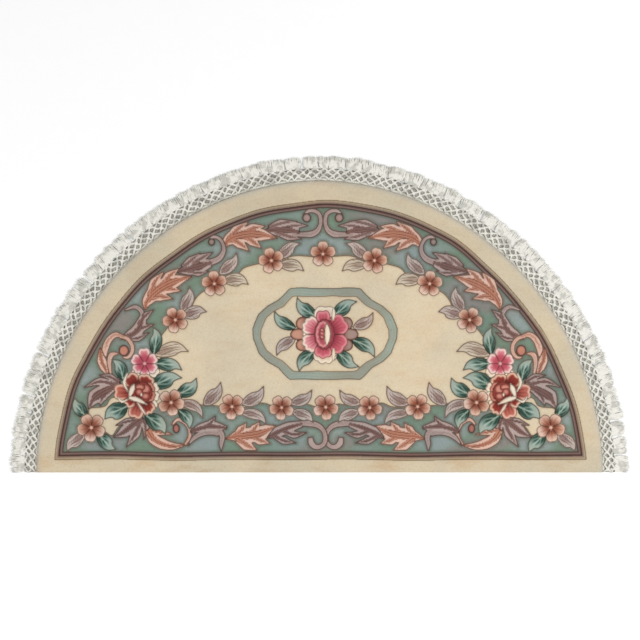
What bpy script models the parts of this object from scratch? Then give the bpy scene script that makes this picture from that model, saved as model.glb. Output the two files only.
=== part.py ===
"""A half-round hearth rug of carved wool pile, with a knotted cotton fringe sewn along its arc.

Metres, +Z up. The rug lies on the floor at z = 0, its straight edge facing -Y.
"""

import math
import random
from collections import namedtuple

import bpy
import numpy as np
from mathutils import Vector
from mathutils.geometry import delaunay_2d_cdt

# The half-round cloth of pile
HALF_WIDTH = 0.610
DEPTH = 0.629
EDGE_POWER = 1.93
PILE = 0.014
RIM_SIDE = 0.0100
RIM_SHOULDER = 0.0128
RIM_INSETS = (0.0018, 0.0060)
ARC_COLUMNS = 110
FRAME_STEPS = 54
STRAIGHT_STEPS = 4

# The carved double frame line, as insets from the arc and from the straight edge
FRAME_ARC_INSET = 0.0400
FRAME_STRAIGHT_INSET = 0.0285
FRAME_WIDTH = 0.0205
GROOVE_WIDTH = 0.0050
GROOVE_DEPTH = 0.0022

# The design's own middle line lies a little right of the cloth's
DESIGN_SHIFT = 0.005

# The eight-sided ring in the field
RING_CENTRE = (0.0115, 0.2990)
RING_HALF_WIDTH = 0.155
RING_HALF_HEIGHT = 0.098
RING_BAND = 0.017
RING_QUARTER = ((0.49, 1.0), (0.79, 0.63), (0.92, 0.42), (1.0, 0.08))

# Carved flowers stand proud of the groove that is cut round them
PETAL_NOTCH = 0.30
PETAL_RISE = 0.0012
FLOWER_CUT = 0.0018
FLOWER_SHOULDER = 0.82

# The fringe: a heading tape, three rows of knots and cut tails
SEAM_GAP = 0.0003
HEADING = 0.0085
HEADING_THICK = 0.0030
ROW_STEP = 0.0087
KNOT_HALF = 0.0034
CORD_THICK = 0.0036
KNOT_THICK = 0.0052
TAIL_REACH = 0.0580
TAIL_TIP_THICK = 0.0016
TAIL_TIP_HALF = 0.0037
TAIL_SPREAD = 0.0009
TAIL_SHORTEST = 0.86
TAIL_SEED = 7

Flower = namedtuple("Flower", "middle x y radius petals turn")

# Each flower is on both sides: x is from its pair's own middle, and y from the straight edge
PAIRED_FLOWERS = (
    Flower(middle=0.002, x=0.111, y=0.457, radius=0.025, petals=5, turn=75),
    Flower(middle=0.000, x=0.232, y=0.407, radius=0.025, petals=5, turn=75),
    Flower(middle=0.001, x=0.317, y=0.329, radius=0.025, petals=5, turn=65),
    Flower(middle=0.001, x=0.383, y=0.235, radius=0.028, petals=6, turn=88),
    Flower(middle=0.001, x=0.390, y=0.172, radius=0.042, petals=7, turn=64),
    Flower(middle=0.004, x=0.329, y=0.151, radius=0.025, petals=5, turn=45),
    Flower(middle=-0.002, x=0.495, y=0.097, radius=0.027, petals=5, turn=270),
    Flower(middle=0.006, x=0.200, y=0.142, radius=0.025, petals=5, turn=36),
    Flower(middle=0.008, x=0.095, y=0.140, radius=0.024, petals=5, turn=268),
)
MIDDLE_FLOWERS = (
    Flower(middle=0.002, x=0.0, y=0.471, radius=0.026, petals=5, turn=85),
    Flower(middle=0.008, x=0.0, y=0.141, radius=0.025, petals=5, turn=268),
    Flower(middle=0.005, x=0.0, y=0.299, radius=0.042, petals=8, turn=0),
)


def clear_scene():
    for old in list(bpy.data.objects):
        bpy.data.objects.remove(old)


def wool(name, colour, roughness):
    material = bpy.data.materials.new(name)
    material.use_nodes = True
    shader = material.node_tree.nodes["Principled BSDF"]
    shader.inputs["Base Color"].default_value = (*colour, 1.0)
    shader.inputs["Roughness"].default_value = roughness
    shader.inputs["Metallic"].default_value = 0.0
    return material


def make_object(name, points, faces, material):
    mesh = bpy.data.meshes.new(name)
    mesh.from_pydata([Vector(point) for point in points], [], faces)
    mesh.materials.append(material)
    mesh.validate()
    made = bpy.data.objects.new(name, mesh)
    bpy.context.scene.collection.objects.link(made)
    return made


def arc_point(half_width, depth, angle):
    """A point of the arc, which is a little flatter than an ellipse between its ends and top."""
    cos, sin = math.cos(angle), math.sin(angle)
    x = math.copysign(half_width * abs(cos) ** (2 / EDGE_POWER), cos)
    return x, depth * max(sin, 0.0) ** (2 / EDGE_POWER)


class Arc:
    """The rug's arc, read by share of its length from the right end to the left."""

    SAMPLES = 4001

    def __init__(self, half_width, depth):
        self.half_width = half_width
        self.depth = depth
        self.angles = np.linspace(0.0, math.pi, self.SAMPLES)
        track = np.array([arc_point(half_width, depth, angle) for angle in self.angles])
        steps = np.hypot(*np.diff(track, axis=0).T)
        self.lengths = np.concatenate(([0.0], np.cumsum(steps)))
        self.length = float(self.lengths[-1])

    def point(self, share, out=0.0):
        """The point at that share of the arc, moved outwards along the arc's normal."""
        angle = float(np.interp(share * self.length, self.lengths, self.angles))
        x, y = arc_point(self.half_width, self.depth, angle)
        slope = EDGE_POWER - 1
        normal_x = math.copysign((abs(x) / self.half_width) ** slope / self.half_width, x)
        normal_y = (y / self.depth) ** slope / self.depth
        size = math.hypot(normal_x, normal_y)
        return x + out * normal_x / size, max(y + out * normal_y / size, 0.0)


def half_moon(arc_inset, straight_inset, arc_steps):
    """A closed outline inside the rug's own: its arc, then its straight side, anticlockwise."""
    across, up = HALF_WIDTH - arc_inset, DEPTH - arc_inset
    start = math.asin((straight_inset / up) ** (EDGE_POWER / 2))
    angles = np.linspace(start, math.pi - start, arc_steps + 1)
    outline = [arc_point(across, up, angle) for angle in angles]
    left, right = outline[-1], outline[0]
    for step in range(1, STRAIGHT_STEPS):
        share = step / STRAIGHT_STEPS
        outline.append((left[0] + share * (right[0] - left[0]), straight_inset))
    return outline


def ring_outline(shrink):
    """The ring's outline, drawn in by shrink: flat top and foot, slanting corners, bowed ends."""
    across, up = RING_HALF_WIDTH - shrink, RING_HALF_HEIGHT - shrink
    upper_right = [(x * across, y * up) for x, y in RING_QUARTER]
    upper = list(reversed(upper_right)) + [(-x, y) for x, y in upper_right]
    lower = [(-x, -y) for x, y in upper]
    return [(RING_CENTRE[0] + x, RING_CENTRE[1] + y) for x, y in upper + lower]


def flower_outline(flower, scale):
    """Round petals with a notch between each two: three points to a petal and one to a notch."""
    outline = []
    steps = 4 * flower.petals
    for step in range(steps):
        lobe = 0.5 - 0.5 * math.cos(2 * math.pi * step / 4)
        reach = flower.radius * scale * (1 - PETAL_NOTCH * (1 - lobe))
        angle = math.radians(flower.turn) + 2 * math.pi * (step - 2) / steps
        outline.append((flower.x + reach * math.cos(angle), flower.y + reach * math.sin(angle)))
    return outline


def placed_flowers():
    for flower in MIDDLE_FLOWERS:
        yield flower._replace(x=DESIGN_SHIFT + flower.middle)
    for flower in PAIRED_FLOWERS:
        middle = DESIGN_SHIFT + flower.middle
        yield flower._replace(x=middle + flower.x)
        yield flower._replace(x=middle - flower.x, turn=180 - flower.turn)


class Carving:
    """The top of the pile as outlines at set heights, which one triangulation joins."""

    def __init__(self):
        self.points = []
        self.heights = []
        self.edges = []

    def loop(self, outline, height):
        first = len(self.points)
        count = len(outline)
        self.points += [Vector(point) for point in outline]
        self.heights += [height] * count
        self.edges += [(first + i, first + (i + 1) % count) for i in range(count)]

    def dot(self, point, height):
        self.points.append(Vector(point))
        self.heights.append(height)

    def surface(self):
        flat, _, faces, sources, _, _ = delaunay_2d_cdt(self.points, self.edges, [], 0, 1e-7)
        raised = [
            (point.x, point.y, self.heights[source[0]] if source else PILE)
            for point, source in zip(flat, sources)
        ]
        return raised, [tuple(face) for face in faces]


def carve_groove(carving, outline_at):
    """A vee cut: its two lips at the pile's height and its bottom between them."""
    half = GROOVE_WIDTH / 2
    for offset, height in ((-half, PILE), (0.0, PILE - GROOVE_DEPTH), (half, PILE)):
        carving.loop(outline_at(offset), height)


def rim_outline(arc):
    """The cloth's outer edge, with a point at every column of the fringe."""
    outline = [arc.point(column / ARC_COLUMNS) for column in range(ARC_COLUMNS + 1)]
    for step in range(1, STRAIGHT_STEPS):
        outline.append((HALF_WIDTH * (2 * step / STRAIGHT_STEPS - 1), 0.0))
    return outline


def carved_top(rim):
    carving = Carving()
    carving.loop(rim, RIM_SIDE)
    shoulder, crown = RIM_INSETS
    carving.loop(half_moon(shoulder, shoulder, FRAME_STEPS), RIM_SHOULDER)
    carving.loop(half_moon(crown, crown, FRAME_STEPS), PILE)
    for start in (0.0, FRAME_WIDTH - GROOVE_WIDTH):
        arc_inset = FRAME_ARC_INSET + start
        straight_inset = FRAME_STRAIGHT_INSET + start
        carve_groove(
            carving,
            lambda offset: half_moon(arc_inset + offset, straight_inset + offset, FRAME_STEPS),
        )
    for start in (0.0, RING_BAND):
        carve_groove(carving, lambda offset: ring_outline(start + offset))
    for flower in placed_flowers():
        carving.loop(flower_outline(flower, 1.0), PILE - FLOWER_CUT)
        carving.loop(flower_outline(flower, FLOWER_SHOULDER), PILE + PETAL_RISE)
        carving.dot((flower.x, flower.y), PILE - FLOWER_CUT / 2)
    return carving.surface()


def pile_solid(arc):
    """The carved top, closed by the rim's wall and a flat underside."""
    rim = rim_outline(arc)
    top, faces = carved_top(rim)
    points = list(top)
    lookup = {(round(x, 5), round(y, 5)): i for i, (x, y, _) in enumerate(top)}
    upper = [lookup[(round(x, 5), round(y, 5))] for x, y in rim]
    lower = list(range(len(points), len(points) + len(rim)))
    points += [(top[i][0], top[i][1], 0.0) for i in upper]
    count = len(rim)
    for i in range(count):
        after = (i + 1) % count
        faces.append((upper[after], upper[i], lower[i], lower[after]))
    faces.append(tuple(reversed(lower)))
    return points, faces


class Net:
    """The fringe as one flat-bottomed sheet: each corner is a top point and the floor below it."""

    def __init__(self, arc):
        self.arc = arc
        self.points = []
        self.faces = []
        self.open_edges = {}

    def corner(self, column, out, height):
        x, y = self.arc.point(column / ARC_COLUMNS, out)
        self.points.append((x, y, height))
        self.points.append((x, y, 0.0))
        return len(self.points) - 2

    def cell(self, corners):
        """A polygon of the sheet, top and underside, its corners anticlockwise from above."""
        self.faces.append(tuple(corners))
        self.faces.append(tuple(corner + 1 for corner in reversed(corners)))
        self._count_edges(corners)

    def peak(self, corners, tip):
        """A knot: a flat underside, and a top that rises to a point over its middle."""
        for i, corner in enumerate(corners):
            self.faces.append((corner, corners[(i + 1) % len(corners)], tip))
        self.faces.append(tuple(corner + 1 for corner in reversed(corners)))
        self._count_edges(corners)

    def _count_edges(self, corners):
        for i, corner in enumerate(corners):
            after = corners[(i + 1) % len(corners)]
            if (after, corner) in self.open_edges:
                del self.open_edges[(after, corner)]
            else:
                self.open_edges[(corner, after)] = True

    def close_walls(self):
        for start, end in self.open_edges:
            self.faces.append((end, start, start + 1, end + 1))

    def tip(self, column, out):
        x, y = self.arc.point(column / ARC_COLUMNS, out)
        self.points.append((x, y, KNOT_THICK))
        return len(self.points) - 1


Knot = namedtuple("Knot", "inner outer right left tip")


def make_knot(net, column, out):
    """A knot's four corners. Columns run anticlockwise, so a later column lies to the left."""
    half_column = KNOT_HALF * ARC_COLUMNS / net.arc.length
    return Knot(
        inner=net.corner(column, out - KNOT_HALF, CORD_THICK),
        outer=net.corner(column, out + KNOT_HALF, CORD_THICK),
        right=net.corner(column - half_column, out, CORD_THICK),
        left=net.corner(column + half_column, out, CORD_THICK),
        tip=net.tip(column, out),
    )


def heading_cells(net, first_row):
    """The tape and the filled wedges of cord that leave it for the first row of knots."""
    edge = [net.corner(column, SEAM_GAP, HEADING_THICK) for column in range(ARC_COLUMNS + 1)]
    roots = [net.corner(column, HEADING, HEADING_THICK) for column in range(ARC_COLUMNS + 1)]
    for column in range(ARC_COLUMNS):
        knot = first_row[column]
        net.cell((edge[column], roots[column], roots[column + 1], edge[column + 1]))
        net.cell((roots[column], knot.right, knot.left, roots[column + 1]))
        net.peak((knot.right, knot.outer, knot.left), knot.tip)


def join_rows(net, inner_row, outer_row, shift):
    """Slanting cords from each inner knot to the outer knots beside it; shift is the row's own."""
    for column, knot in enumerate(inner_row):
        after, before = column + shift, column + shift - 1
        if before >= 0:
            target = outer_row[before]
            net.cell((knot.right, target.inner, target.left, knot.outer))
        if after < len(outer_row):
            target = outer_row[after]
            net.cell((knot.outer, target.right, target.inner, knot.left))


def knot_tops(net, row):
    for knot in row:
        net.peak((knot.inner, knot.right, knot.outer, knot.left), knot.tip)


def tails(net, row, chance):
    """Two locks from each outer knot, lying flat and thinning to their cut ends."""
    per_metre = ARC_COLUMNS / net.arc.length
    start = HEADING + 3 * ROW_STEP
    for column, knot in enumerate(row):
        middle = column + 0.5
        for side, root in ((-1, (knot.right, knot.outer)), (1, (knot.outer, knot.left))):
            reach = start + (TAIL_REACH - start) * chance.uniform(TAIL_SHORTEST, 1.0)
            lean = side * (TAIL_TIP_HALF + TAIL_SPREAD) + chance.uniform(-1, 1) * TAIL_SPREAD / 3
            if column in (0, ARC_COLUMNS // 2, ARC_COLUMNS - 1):
                reach = TAIL_REACH
                lean = side * (TAIL_TIP_HALF + TAIL_SPREAD)
            near = net.corner(middle + (lean - TAIL_TIP_HALF) * per_metre, reach, TAIL_TIP_THICK)
            far = net.corner(middle + (lean + TAIL_TIP_HALF) * per_metre, reach, TAIL_TIP_THICK)
            net.cell((root[0], near, far, root[1]))


def fringe_solid(arc):
    net = Net(arc)
    rows = []
    for row, offset in enumerate((0.5, 0.0, 0.5)):
        out = HEADING + (row + 1) * ROW_STEP
        columns = np.arange(offset, ARC_COLUMNS + 0.01) if offset else np.arange(1, ARC_COLUMNS)
        rows.append([make_knot(net, float(column), out) for column in columns])
    heading_cells(net, rows[0])
    join_rows(net, rows[0], rows[1], 0)
    join_rows(net, rows[1], rows[2], 1)
    knot_tops(net, rows[1])
    knot_tops(net, rows[2])
    tails(net, rows[2], random.Random(TAIL_SEED))
    net.close_walls()
    return net.points, net.faces


def centred(points, middle_y):
    return [(x, y - middle_y, z) for x, y, z in points]


def main():
    clear_scene()
    arc = Arc(HALF_WIDTH, DEPTH)
    cream = wool("cream_wool", (0.63, 0.52, 0.37), 0.95)
    cotton = wool("fringe_cotton", (0.72, 0.70, 0.63), 0.9)
    pile_points, pile_faces = pile_solid(arc)
    fringe_points, fringe_faces = fringe_solid(arc)
    middle_y = max(point[1] for point in fringe_points) / 2
    make_object("rug", centred(pile_points, middle_y), pile_faces, cream)
    make_object("fringe", centred(fringe_points, middle_y), fringe_faces, cotton)


main()
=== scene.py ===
# %% [markdown]
# # A half-round hearth rug of carved wool
#
# The rug is one piece of cream and sage pile, 14 mm thick, with a border of acanthus scrolls,
# leaves and flowers, and an eight-sided ring round a bouquet. A fringe of knotted cotton is sewn
# along its arc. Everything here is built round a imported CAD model, the frame, which is loaded
# first and never changed.

# %% Load the frame and keep its box
import math
from collections import namedtuple

import bpy
import numpy as np
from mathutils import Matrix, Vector
from mathutils.geometry import delaunay_2d_cdt


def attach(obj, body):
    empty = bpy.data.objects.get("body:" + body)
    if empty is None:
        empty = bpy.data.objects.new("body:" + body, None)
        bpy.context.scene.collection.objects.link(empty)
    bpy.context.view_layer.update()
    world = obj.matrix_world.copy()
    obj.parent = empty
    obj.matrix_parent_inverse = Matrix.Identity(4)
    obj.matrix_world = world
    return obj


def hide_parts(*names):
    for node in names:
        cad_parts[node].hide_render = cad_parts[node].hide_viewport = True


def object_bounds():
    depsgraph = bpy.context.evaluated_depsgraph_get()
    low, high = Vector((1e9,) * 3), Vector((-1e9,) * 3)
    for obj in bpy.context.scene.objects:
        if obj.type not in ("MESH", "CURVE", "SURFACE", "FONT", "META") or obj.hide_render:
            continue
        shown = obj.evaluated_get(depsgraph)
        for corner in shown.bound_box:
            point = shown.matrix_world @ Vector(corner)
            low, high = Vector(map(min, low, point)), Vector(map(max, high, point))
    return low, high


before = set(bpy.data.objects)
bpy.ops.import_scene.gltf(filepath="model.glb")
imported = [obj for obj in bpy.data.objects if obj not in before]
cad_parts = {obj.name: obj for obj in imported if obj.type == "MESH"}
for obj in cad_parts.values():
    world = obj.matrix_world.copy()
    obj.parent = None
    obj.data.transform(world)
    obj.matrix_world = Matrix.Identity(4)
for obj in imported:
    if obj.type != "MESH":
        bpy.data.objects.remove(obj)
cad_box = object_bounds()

print("nodes:", sorted(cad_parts), "box:", [tuple(round(v, 4) for v in c) for c in cad_box])

# %% [markdown]
# ## The design's own millimetres
#
# A rug designer draws on squared paper. Here the paper's zero is on the straight edge, under the
# middle of the design, and its unit is the millimetre. One function carries a drawn point to the
# world. The cloth's outline is a superellipse, a little flatter on its shoulders than an ellipse.

# %% Sizes of the cloth
CLOTH_HALF = 610.0
CLOTH_DEPTH = 629.0
EDGE_POWER = 1.93
CLOTH_SHIFT = 5.0
PILE = 14.0
MILLIMETRE = 0.001
FRONT = cad_box[0].y


def to_world(x, y, z):
    """Design millimetres to world metres."""
    across = (np.asarray(x) + CLOTH_SHIFT) * MILLIMETRE
    return np.stack((across, np.asarray(y) * MILLIMETRE + FRONT, np.asarray(z) * MILLIMETRE), -1)


def cloth_arc(inset=0.0, steps=660):
    """The cloth's arc from its right end to its left, in design millimetres."""
    angle = np.linspace(0, math.pi, steps)
    cos, sin = np.cos(angle), np.sin(angle)
    x = (CLOTH_HALF - inset) * np.sign(cos) * np.abs(cos) ** (2 / EDGE_POWER)
    y = inset + (CLOTH_DEPTH - 2 * inset) * np.maximum(sin, 0) ** (2 / EDGE_POWER)
    return np.stack((x - CLOTH_SHIFT, y), 1)


print("straight edge at y =", round(FRONT, 4), "m, top of the arc at y =",
      round(float(to_world(0, CLOTH_DEPTH, 0)[1]), 4), "m")

# %% [markdown]
# ## Drawing tools
#
# The pattern is painted as a designer paints it, one motif over another, but on points instead
# of pixels: each point of the pile gets the colour of the yarn there, and its distance to the
# nearest drawn outline, where the pile is later cut with shears. A motif is a closed outline.
# Long thin shapes are strokes: a spine with a half width at equal shares of its length.

# %% Blends and curves
FAR = 30.0


def blend(low, high, share):
    """A mix of two colours, or of two rows of colours."""
    share = np.asarray(share, float)[..., None]
    return np.asarray(low, float) * (1 - share) + np.asarray(high, float) * share


def ease(low, high, value):
    """A soft step from 0 at low to 1 at high, which may lie below low."""
    share = np.clip((value - low) / (high - low), 0, 1)
    return share * share * (3 - 2 * share)


def curve(points, per_span=7):
    """A smooth curve through the points."""
    points = np.asarray(points, float)
    ring = np.vstack((2 * points[0] - points[1], points, 2 * points[-1] - points[-2]))
    t = (np.arange(per_span) / per_span)[:, None]
    spans = []
    for a, b, c, d in zip(ring, ring[1:], ring[2:], ring[3:]):
        bend = 2 * a - 5 * b + 4 * c - d + t * (3 * (b - c) + d - a)
        spans.append(b + 0.5 * t * (c - a + t * bend))
    return np.vstack((*spans, points[-1]))


def looped(outline):
    """An outline whose last point is its first again."""
    return np.vstack((outline, outline[:1]))


def nearest(at, chain):
    """From each point to a chain: the distance, the share of its length there, and the side."""
    step = np.diff(chain, axis=0)
    span2 = (step ** 2).sum(1) + 1e-9
    lengths = np.concatenate(([0.0], np.cumsum(np.sqrt(span2))))
    away = at[:, None] - chain[:-1]
    share = np.clip((away * step).sum(2) / span2, 0, 1)
    gap2 = ((away - share[..., None] * step) ** 2).sum(2)
    best = gap2.argmin(1)
    row = np.arange(len(best))
    away, share = away[row, best], share[row, best]
    along = (lengths[best] + share * np.sqrt(span2[best])) / lengths[-1]
    side = np.sign(step[best, 0] * away[:, 1] - step[best, 1] * away[:, 0])
    return np.sqrt(gap2[row, best]), along, side


def crossings(at, run):
    """How many links of a run lie to the right of each point, for the even-odd rule."""
    (x0, y0), (x1, y1) = run[:-1].T, run[1:].T
    x, y = at[:, :1], at[:, 1:]
    slope = (x1 - x0) / np.where(y1 == y0, 1e-9, y1 - y0)
    return (((y0 > y) != (y1 > y)) & (x < x0 + (y - y0) * slope)).sum(1)


def stroke(spine, widths):
    """A stroke's smooth spine, and the outline that its half widths give."""
    track = curve(spine)
    heading = np.gradient(track, axis=0)
    normal = np.stack((-heading[:, 1], heading[:, 0]), 1) / np.hypot(*heading.T)[:, None]
    half = width_at(np.linspace(0, 1, len(track)), widths)[:, None]
    return track, np.vstack((track + normal * half, (track - normal * half)[::-1]))


def width_at(share, widths):
    """The half width at a share of the length, from widths at equal shares."""
    return np.interp(share, np.linspace(0, 1, len(widths)), widths)


def mirrored(points, middle):
    return [(2 * middle - x, y) for x, y in points]


print("a curve through 3 points has", len(curve(((0, 0), (1, 1), (2, 0)))), "points")


# %% The cloth as a set of points to be painted
CREAM = (214, 199, 172)
MARGIN_CREAM = (206, 192, 166)
ON_LINE = 0.25


def all_of(tone, count):
    """Rows of one tone."""
    return np.tile(np.array(tone, float), (count, 1))


class Cloth:
    """The pattern at a set of points: yarn colour, later with painted shade beside outlines, distance to
    the nearest outline, and lift.

    A chain is measured in runs of a few links, each only against the points in its own box.
    Points on a motif or a line are busy: the mesh stays fine there.
    """

    LINKS = 8

    def __init__(self, at):
        self.at = at
        self.tone = all_of(MARGIN_CREAM, len(at))
        self.line = np.full(len(at), FAR)
        self.lift = np.zeros(len(at))
        self.busy = np.zeros(len(at), bool)
        self.chains = []

    def runs(self, chain):
        for first in range(0, len(chain) - 1, self.LINKS):
            yield chain[first:first + self.LINKS + 1]

    def near(self, outline, reach):
        """The points in the box round an outline."""
        low, high = outline.min(0) - reach, outline.max(0) + reach
        return np.flatnonzero(((self.at > low) & (self.at < high)).all(1))

    def distance(self, rows, chain, reach):
        """How far these points are from a chain, up to reach."""
        found = np.full(len(rows), FAR)
        at = self.at[rows]
        for run in self.runs(chain):
            low, high = run.min(0) - reach, run.max(0) + reach
            close = np.flatnonzero(((at > low) & (at < high)).all(1))
            if len(close):
                found[close] = np.minimum(found[close], nearest(at[close], run)[0])
        return found

    def held(self, rows, closed):
        """Which of these points a closed chain holds."""
        at = self.at[rows]
        count = np.zeros(len(rows), int)
        for run in self.runs(closed):
            (right, high), low = run.max(0), run[:, 1].min()
            level = np.flatnonzero((at[:, 1] >= low) & (at[:, 1] <= high) & (at[:, 0] <= right))
            if len(level):
                count[level] += crossings(at[level], run)
        return count % 2 == 1

    def paint(self, outlines, colour, lift=None, faint=0.0, reach=8.0, busy=True):
        """Cover what the outlines hold together, with one tone or with one made for the points."""
        rows = self.near(np.vstack(outlines), reach)
        depth = np.full(len(rows), -FAR)
        for outline in outlines:
            closed = looped(outline)
            if faint < FAR:
                self.chains.append((closed, faint))
            edge = self.distance(rows, closed, reach)
            depth = np.maximum(depth, np.where(self.held(rows, closed), edge, -edge))
        inside = depth > -ON_LINE
        covered = rows[inside]
        self.tone[covered] = colour(self.at[covered], depth[inside]) if callable(colour) else colour
        self.line[covered] = FAR
        self.line[rows] = np.minimum(self.line[rows], np.abs(depth) + faint)
        self.busy[covered] = busy
        if lift is not None:
            self.lift[covered] = lift
        return rows, depth

    def draw(self, points, faint=0.0, reach=4.0):
        """One drawn line, which the wool darkens: partly dark yarn, partly painted shade in the carved
        groove.
        """
        chain = np.asarray(points, float)
        self.chains.append((chain, faint))
        rows = self.near(chain, reach)
        self.line[rows] = np.minimum(self.line[rows], self.distance(rows, chain, reach) + faint)


print("a point within", ON_LINE, "mm of an outline counts as inside it")

# %% [markdown]
# ## The ground, the frame line and the ring
#
# The ground is a sage band inside a frame line of olive, taupe and mauve, and the cream field
# lies over the band with a wavy edge. The frame is one outline whose colours change with the
# depth inside it, so its corners come out mitred, as they are woven. The ring is two outlines.

# %% Frame, band, field and ring
SAGE = (124, 138, 127)
OLIVE = (172, 153, 127)
TAUPE = (141, 121, 107)
MAROON = (88, 63, 58)
FRAME_MAUVE = (128, 103, 98)
RING_BLUE = (158, 168, 154)
RING_DEEP = (134, 146, 138)
RING_OLIVE = (146, 144, 130)
SAGE_PALE = (140, 152, 150)
SAGE_GREEN = (115, 136, 119)
SAGE_WARM = (136, 127, 123)
# Painted shade for the plain ground beside the carved outlines
SAGE_SHADE = (98, 106, 96)
CREAM_SHADE = (198, 178, 150)

# The frame line bulges a little on its shoulders: degrees round the cloth's middle, and radius
FRAME_RADII = ((0, 574), (12, 572), (28, 568), (44, 570), (52, 575), (60, 582), (68, 586), (90, 586),
               (98, 583), (114, 576), (130, 570), (146, 567), (162, 569), (180, 572))
FRAME_SWEEP = (2.5, 177.5)
FRAME_FOOT = 28.5
FRAME_WAVE = 0.8
FRAME_CUTS = ((8.2, 0.1), (15.6, -0.3))
RING_MIDDLE = (6.5, 299.0)
RING_HALF = (155.0, 98.0)
RING_BAND = 17.0
RING_STEP = 6.0
RING_STREAK = 6.1
RING_QUARTER = ((0.49, 1.0), (0.65, 0.74), (0.80, 0.61), (0.92, 0.43), (1.0, 0.11))
RING_WAVE = 0.7

FIELD_EDGE = ((0, 462), (28, 466), (60, 467), (90, 458), (125, 452), (150, 447), (168, 441),
              (178, 431), (190, 416), (215, 408), (240, 398), (262, 386), (274, 372), (282, 356),
              (298, 340), (320, 326), (336, 308), (347, 293), (352, 276), (357, 255), (385, 222),
              (430, 170), (455, 160), (464, 146), (476, 141), (500, 138), (500, 122), (480, 95),
              (466, 87), (452, 80), (441, 95), (430, 104), (405, 112), (370, 135), (340, 150),
              (310, 157), (280, 152), (262, 146), (240, 145), (207, 142), (172, 141), (150, 142),
              (128, 150), (102, 143), (75, 144), (52, 145), (36, 148), (18, 143), (7, 141))
print("ring of", 2 * RING_HALF[0], "by", 2 * RING_HALF[1], "mm in a frame", FRAME_FOOT, "mm from the edge")


# %% Painting the ground
def frame_outline(inset=0.0):
    """The frame line's outer edge, or a line inside it."""
    degrees = np.linspace(*FRAME_SWEEP, 141)
    radii = np.interp(degrees, *zip(*FRAME_RADII)) - inset
    radii = radii + FRAME_WAVE * (np.sin(degrees / 4.1) + np.sin(degrees / 2.3 + 1))
    foot = FRAME_FOOT + inset
    x = radii * np.cos(np.radians(degrees)) - CLOTH_SHIFT
    y = radii * np.sin(np.radians(degrees))
    arc = np.stack((x, y), 1)[y > foot + 3]
    right, left = [math.sqrt(end ** 2 - foot ** 2) for end in (radii[0], radii[-1])]
    x = np.linspace(-left, right, 60) - CLOTH_SHIFT
    sag = FRAME_WAVE * (np.sin(x / 41) + np.sin(x / 76 + 2) - 0.6)
    return np.vstack((arc, np.stack((x, foot + sag), 1)))


def ring_outline(shrink):
    """Eight sides with bowed ends, and the small waves that a shearer's hand leaves."""
    across, up = RING_HALF[0] - shrink, RING_HALF[1] - shrink
    right = [(x * across, y * up) for x, y in RING_QUARTER]
    upper = right[::-1] + mirrored(right, 0)
    corners = np.array(upper + [(-x, -y) for x, y in upper])
    points = along_chain(looped(corners), RING_STEP)
    angle = np.arctan2(points[:, 1], points[:, 0])
    wave = RING_WAVE * (np.sin(7 * angle + shrink) + 0.6 * np.sin(13 * angle + 2 * shrink))
    return points * (1 + wave / np.hypot(*points.T))[:, None] + RING_MIDDLE


def along_chain(chain, pitch):
    """Points at equal steps along a chain."""
    steps = np.hypot(*np.diff(chain, axis=0).T)
    lengths = np.concatenate(([0.0], np.cumsum(steps)))
    count = max(int(round(lengths[-1] / pitch)), 2)
    marks = np.linspace(0, lengths[-1], count, endpoint=False)
    return np.stack([np.interp(marks, lengths, chain[:, axis]) for axis in (0, 1)], 1)


def frame_bands(at, depth):
    """The frame line's bands, from its outer edge inwards."""
    tone = blend(OLIVE, TAUPE, ease(2.8, 4.6, depth))
    tone = blend(tone, MAROON, ease(6.8, 8.0, depth))
    tone = blend(tone, FRAME_MAUVE, ease(10.4, 12.2, depth))
    return blend(tone, SAGE, ease(15.3, 15.9, depth))


def ring_tone(at, depth):
    """Streaks along the ring, and places where the dye turns to olive."""
    streak = 0.5 + 0.5 * np.cos(depth * 2 * math.pi / RING_STREAK + np.sin(at[:, 0] / 14))
    tone = blend(RING_BLUE, RING_DEEP, 0.5 * streak)
    return blend(tone, RING_OLIVE, 0.35 + 0.35 * np.sin(at[:, 0] / 33 + np.sin(at[:, 1] / 21)))


def paint_ground(cloth):
    rows, depth = cloth.paint([frame_outline()], frame_bands, faint=0.6, reach=22.0, busy=False)
    cloth.busy[rows[(depth > -2) & (depth < 18)]] = True
    for cut, faint in FRAME_CUTS:
        cloth.draw(looped(frame_outline(cut)), faint)
    right = curve(FIELD_EDGE)
    cloth.paint([np.vstack((right, mirrored(right, 0)[::-1]))], CREAM, busy=False)
    cloth.paint([ring_outline(0)], ring_tone, lift=0.5, faint=0.4, reach=RING_BAND + 2)
    cloth.paint([ring_outline(RING_BAND)], CREAM, lift=0.0, faint=0.4, busy=False)


def shade_ground(cloth):
    """The sage drifts between dyes, and both plain yarns are darker beside the outlines: painted shade of
    the carved grooves.
    """
    sage = (cloth.tone == np.array(SAGE)).all(1)
    x, y = cloth.at[sage].T
    green = np.sin(x / 29 + 1.7 * np.sin(y / 43)) + np.sin(y / 21 + 1.3 * np.sin(x / 37 + 2))
    warm = np.sin(x / 47 + 2.1 * np.sin(y / 31 + 1)) + np.sin(y / 53 - x / 61)
    tone = blend(SAGE_PALE, SAGE_GREEN, ease(-1.2, 1.2, green))
    tone = blend(tone, SAGE_WARM, 0.85 * ease(0.0, 1.8, warm))
    # painted shade: the sage darkens beside the outlines
    cloth.tone[sage] = blend(tone, SAGE_SHADE, 0.8 * ease(7.0, 0.8, cloth.line[sage]))
    cream = (cloth.tone == np.array(CREAM)).all(1)
    # painted shade: the cream darkens beside the outlines
    cloth.tone[cream] = blend(CREAM, CREAM_SHADE, 0.7 * ease(6.0, 0.5, cloth.line[cream]))


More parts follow.
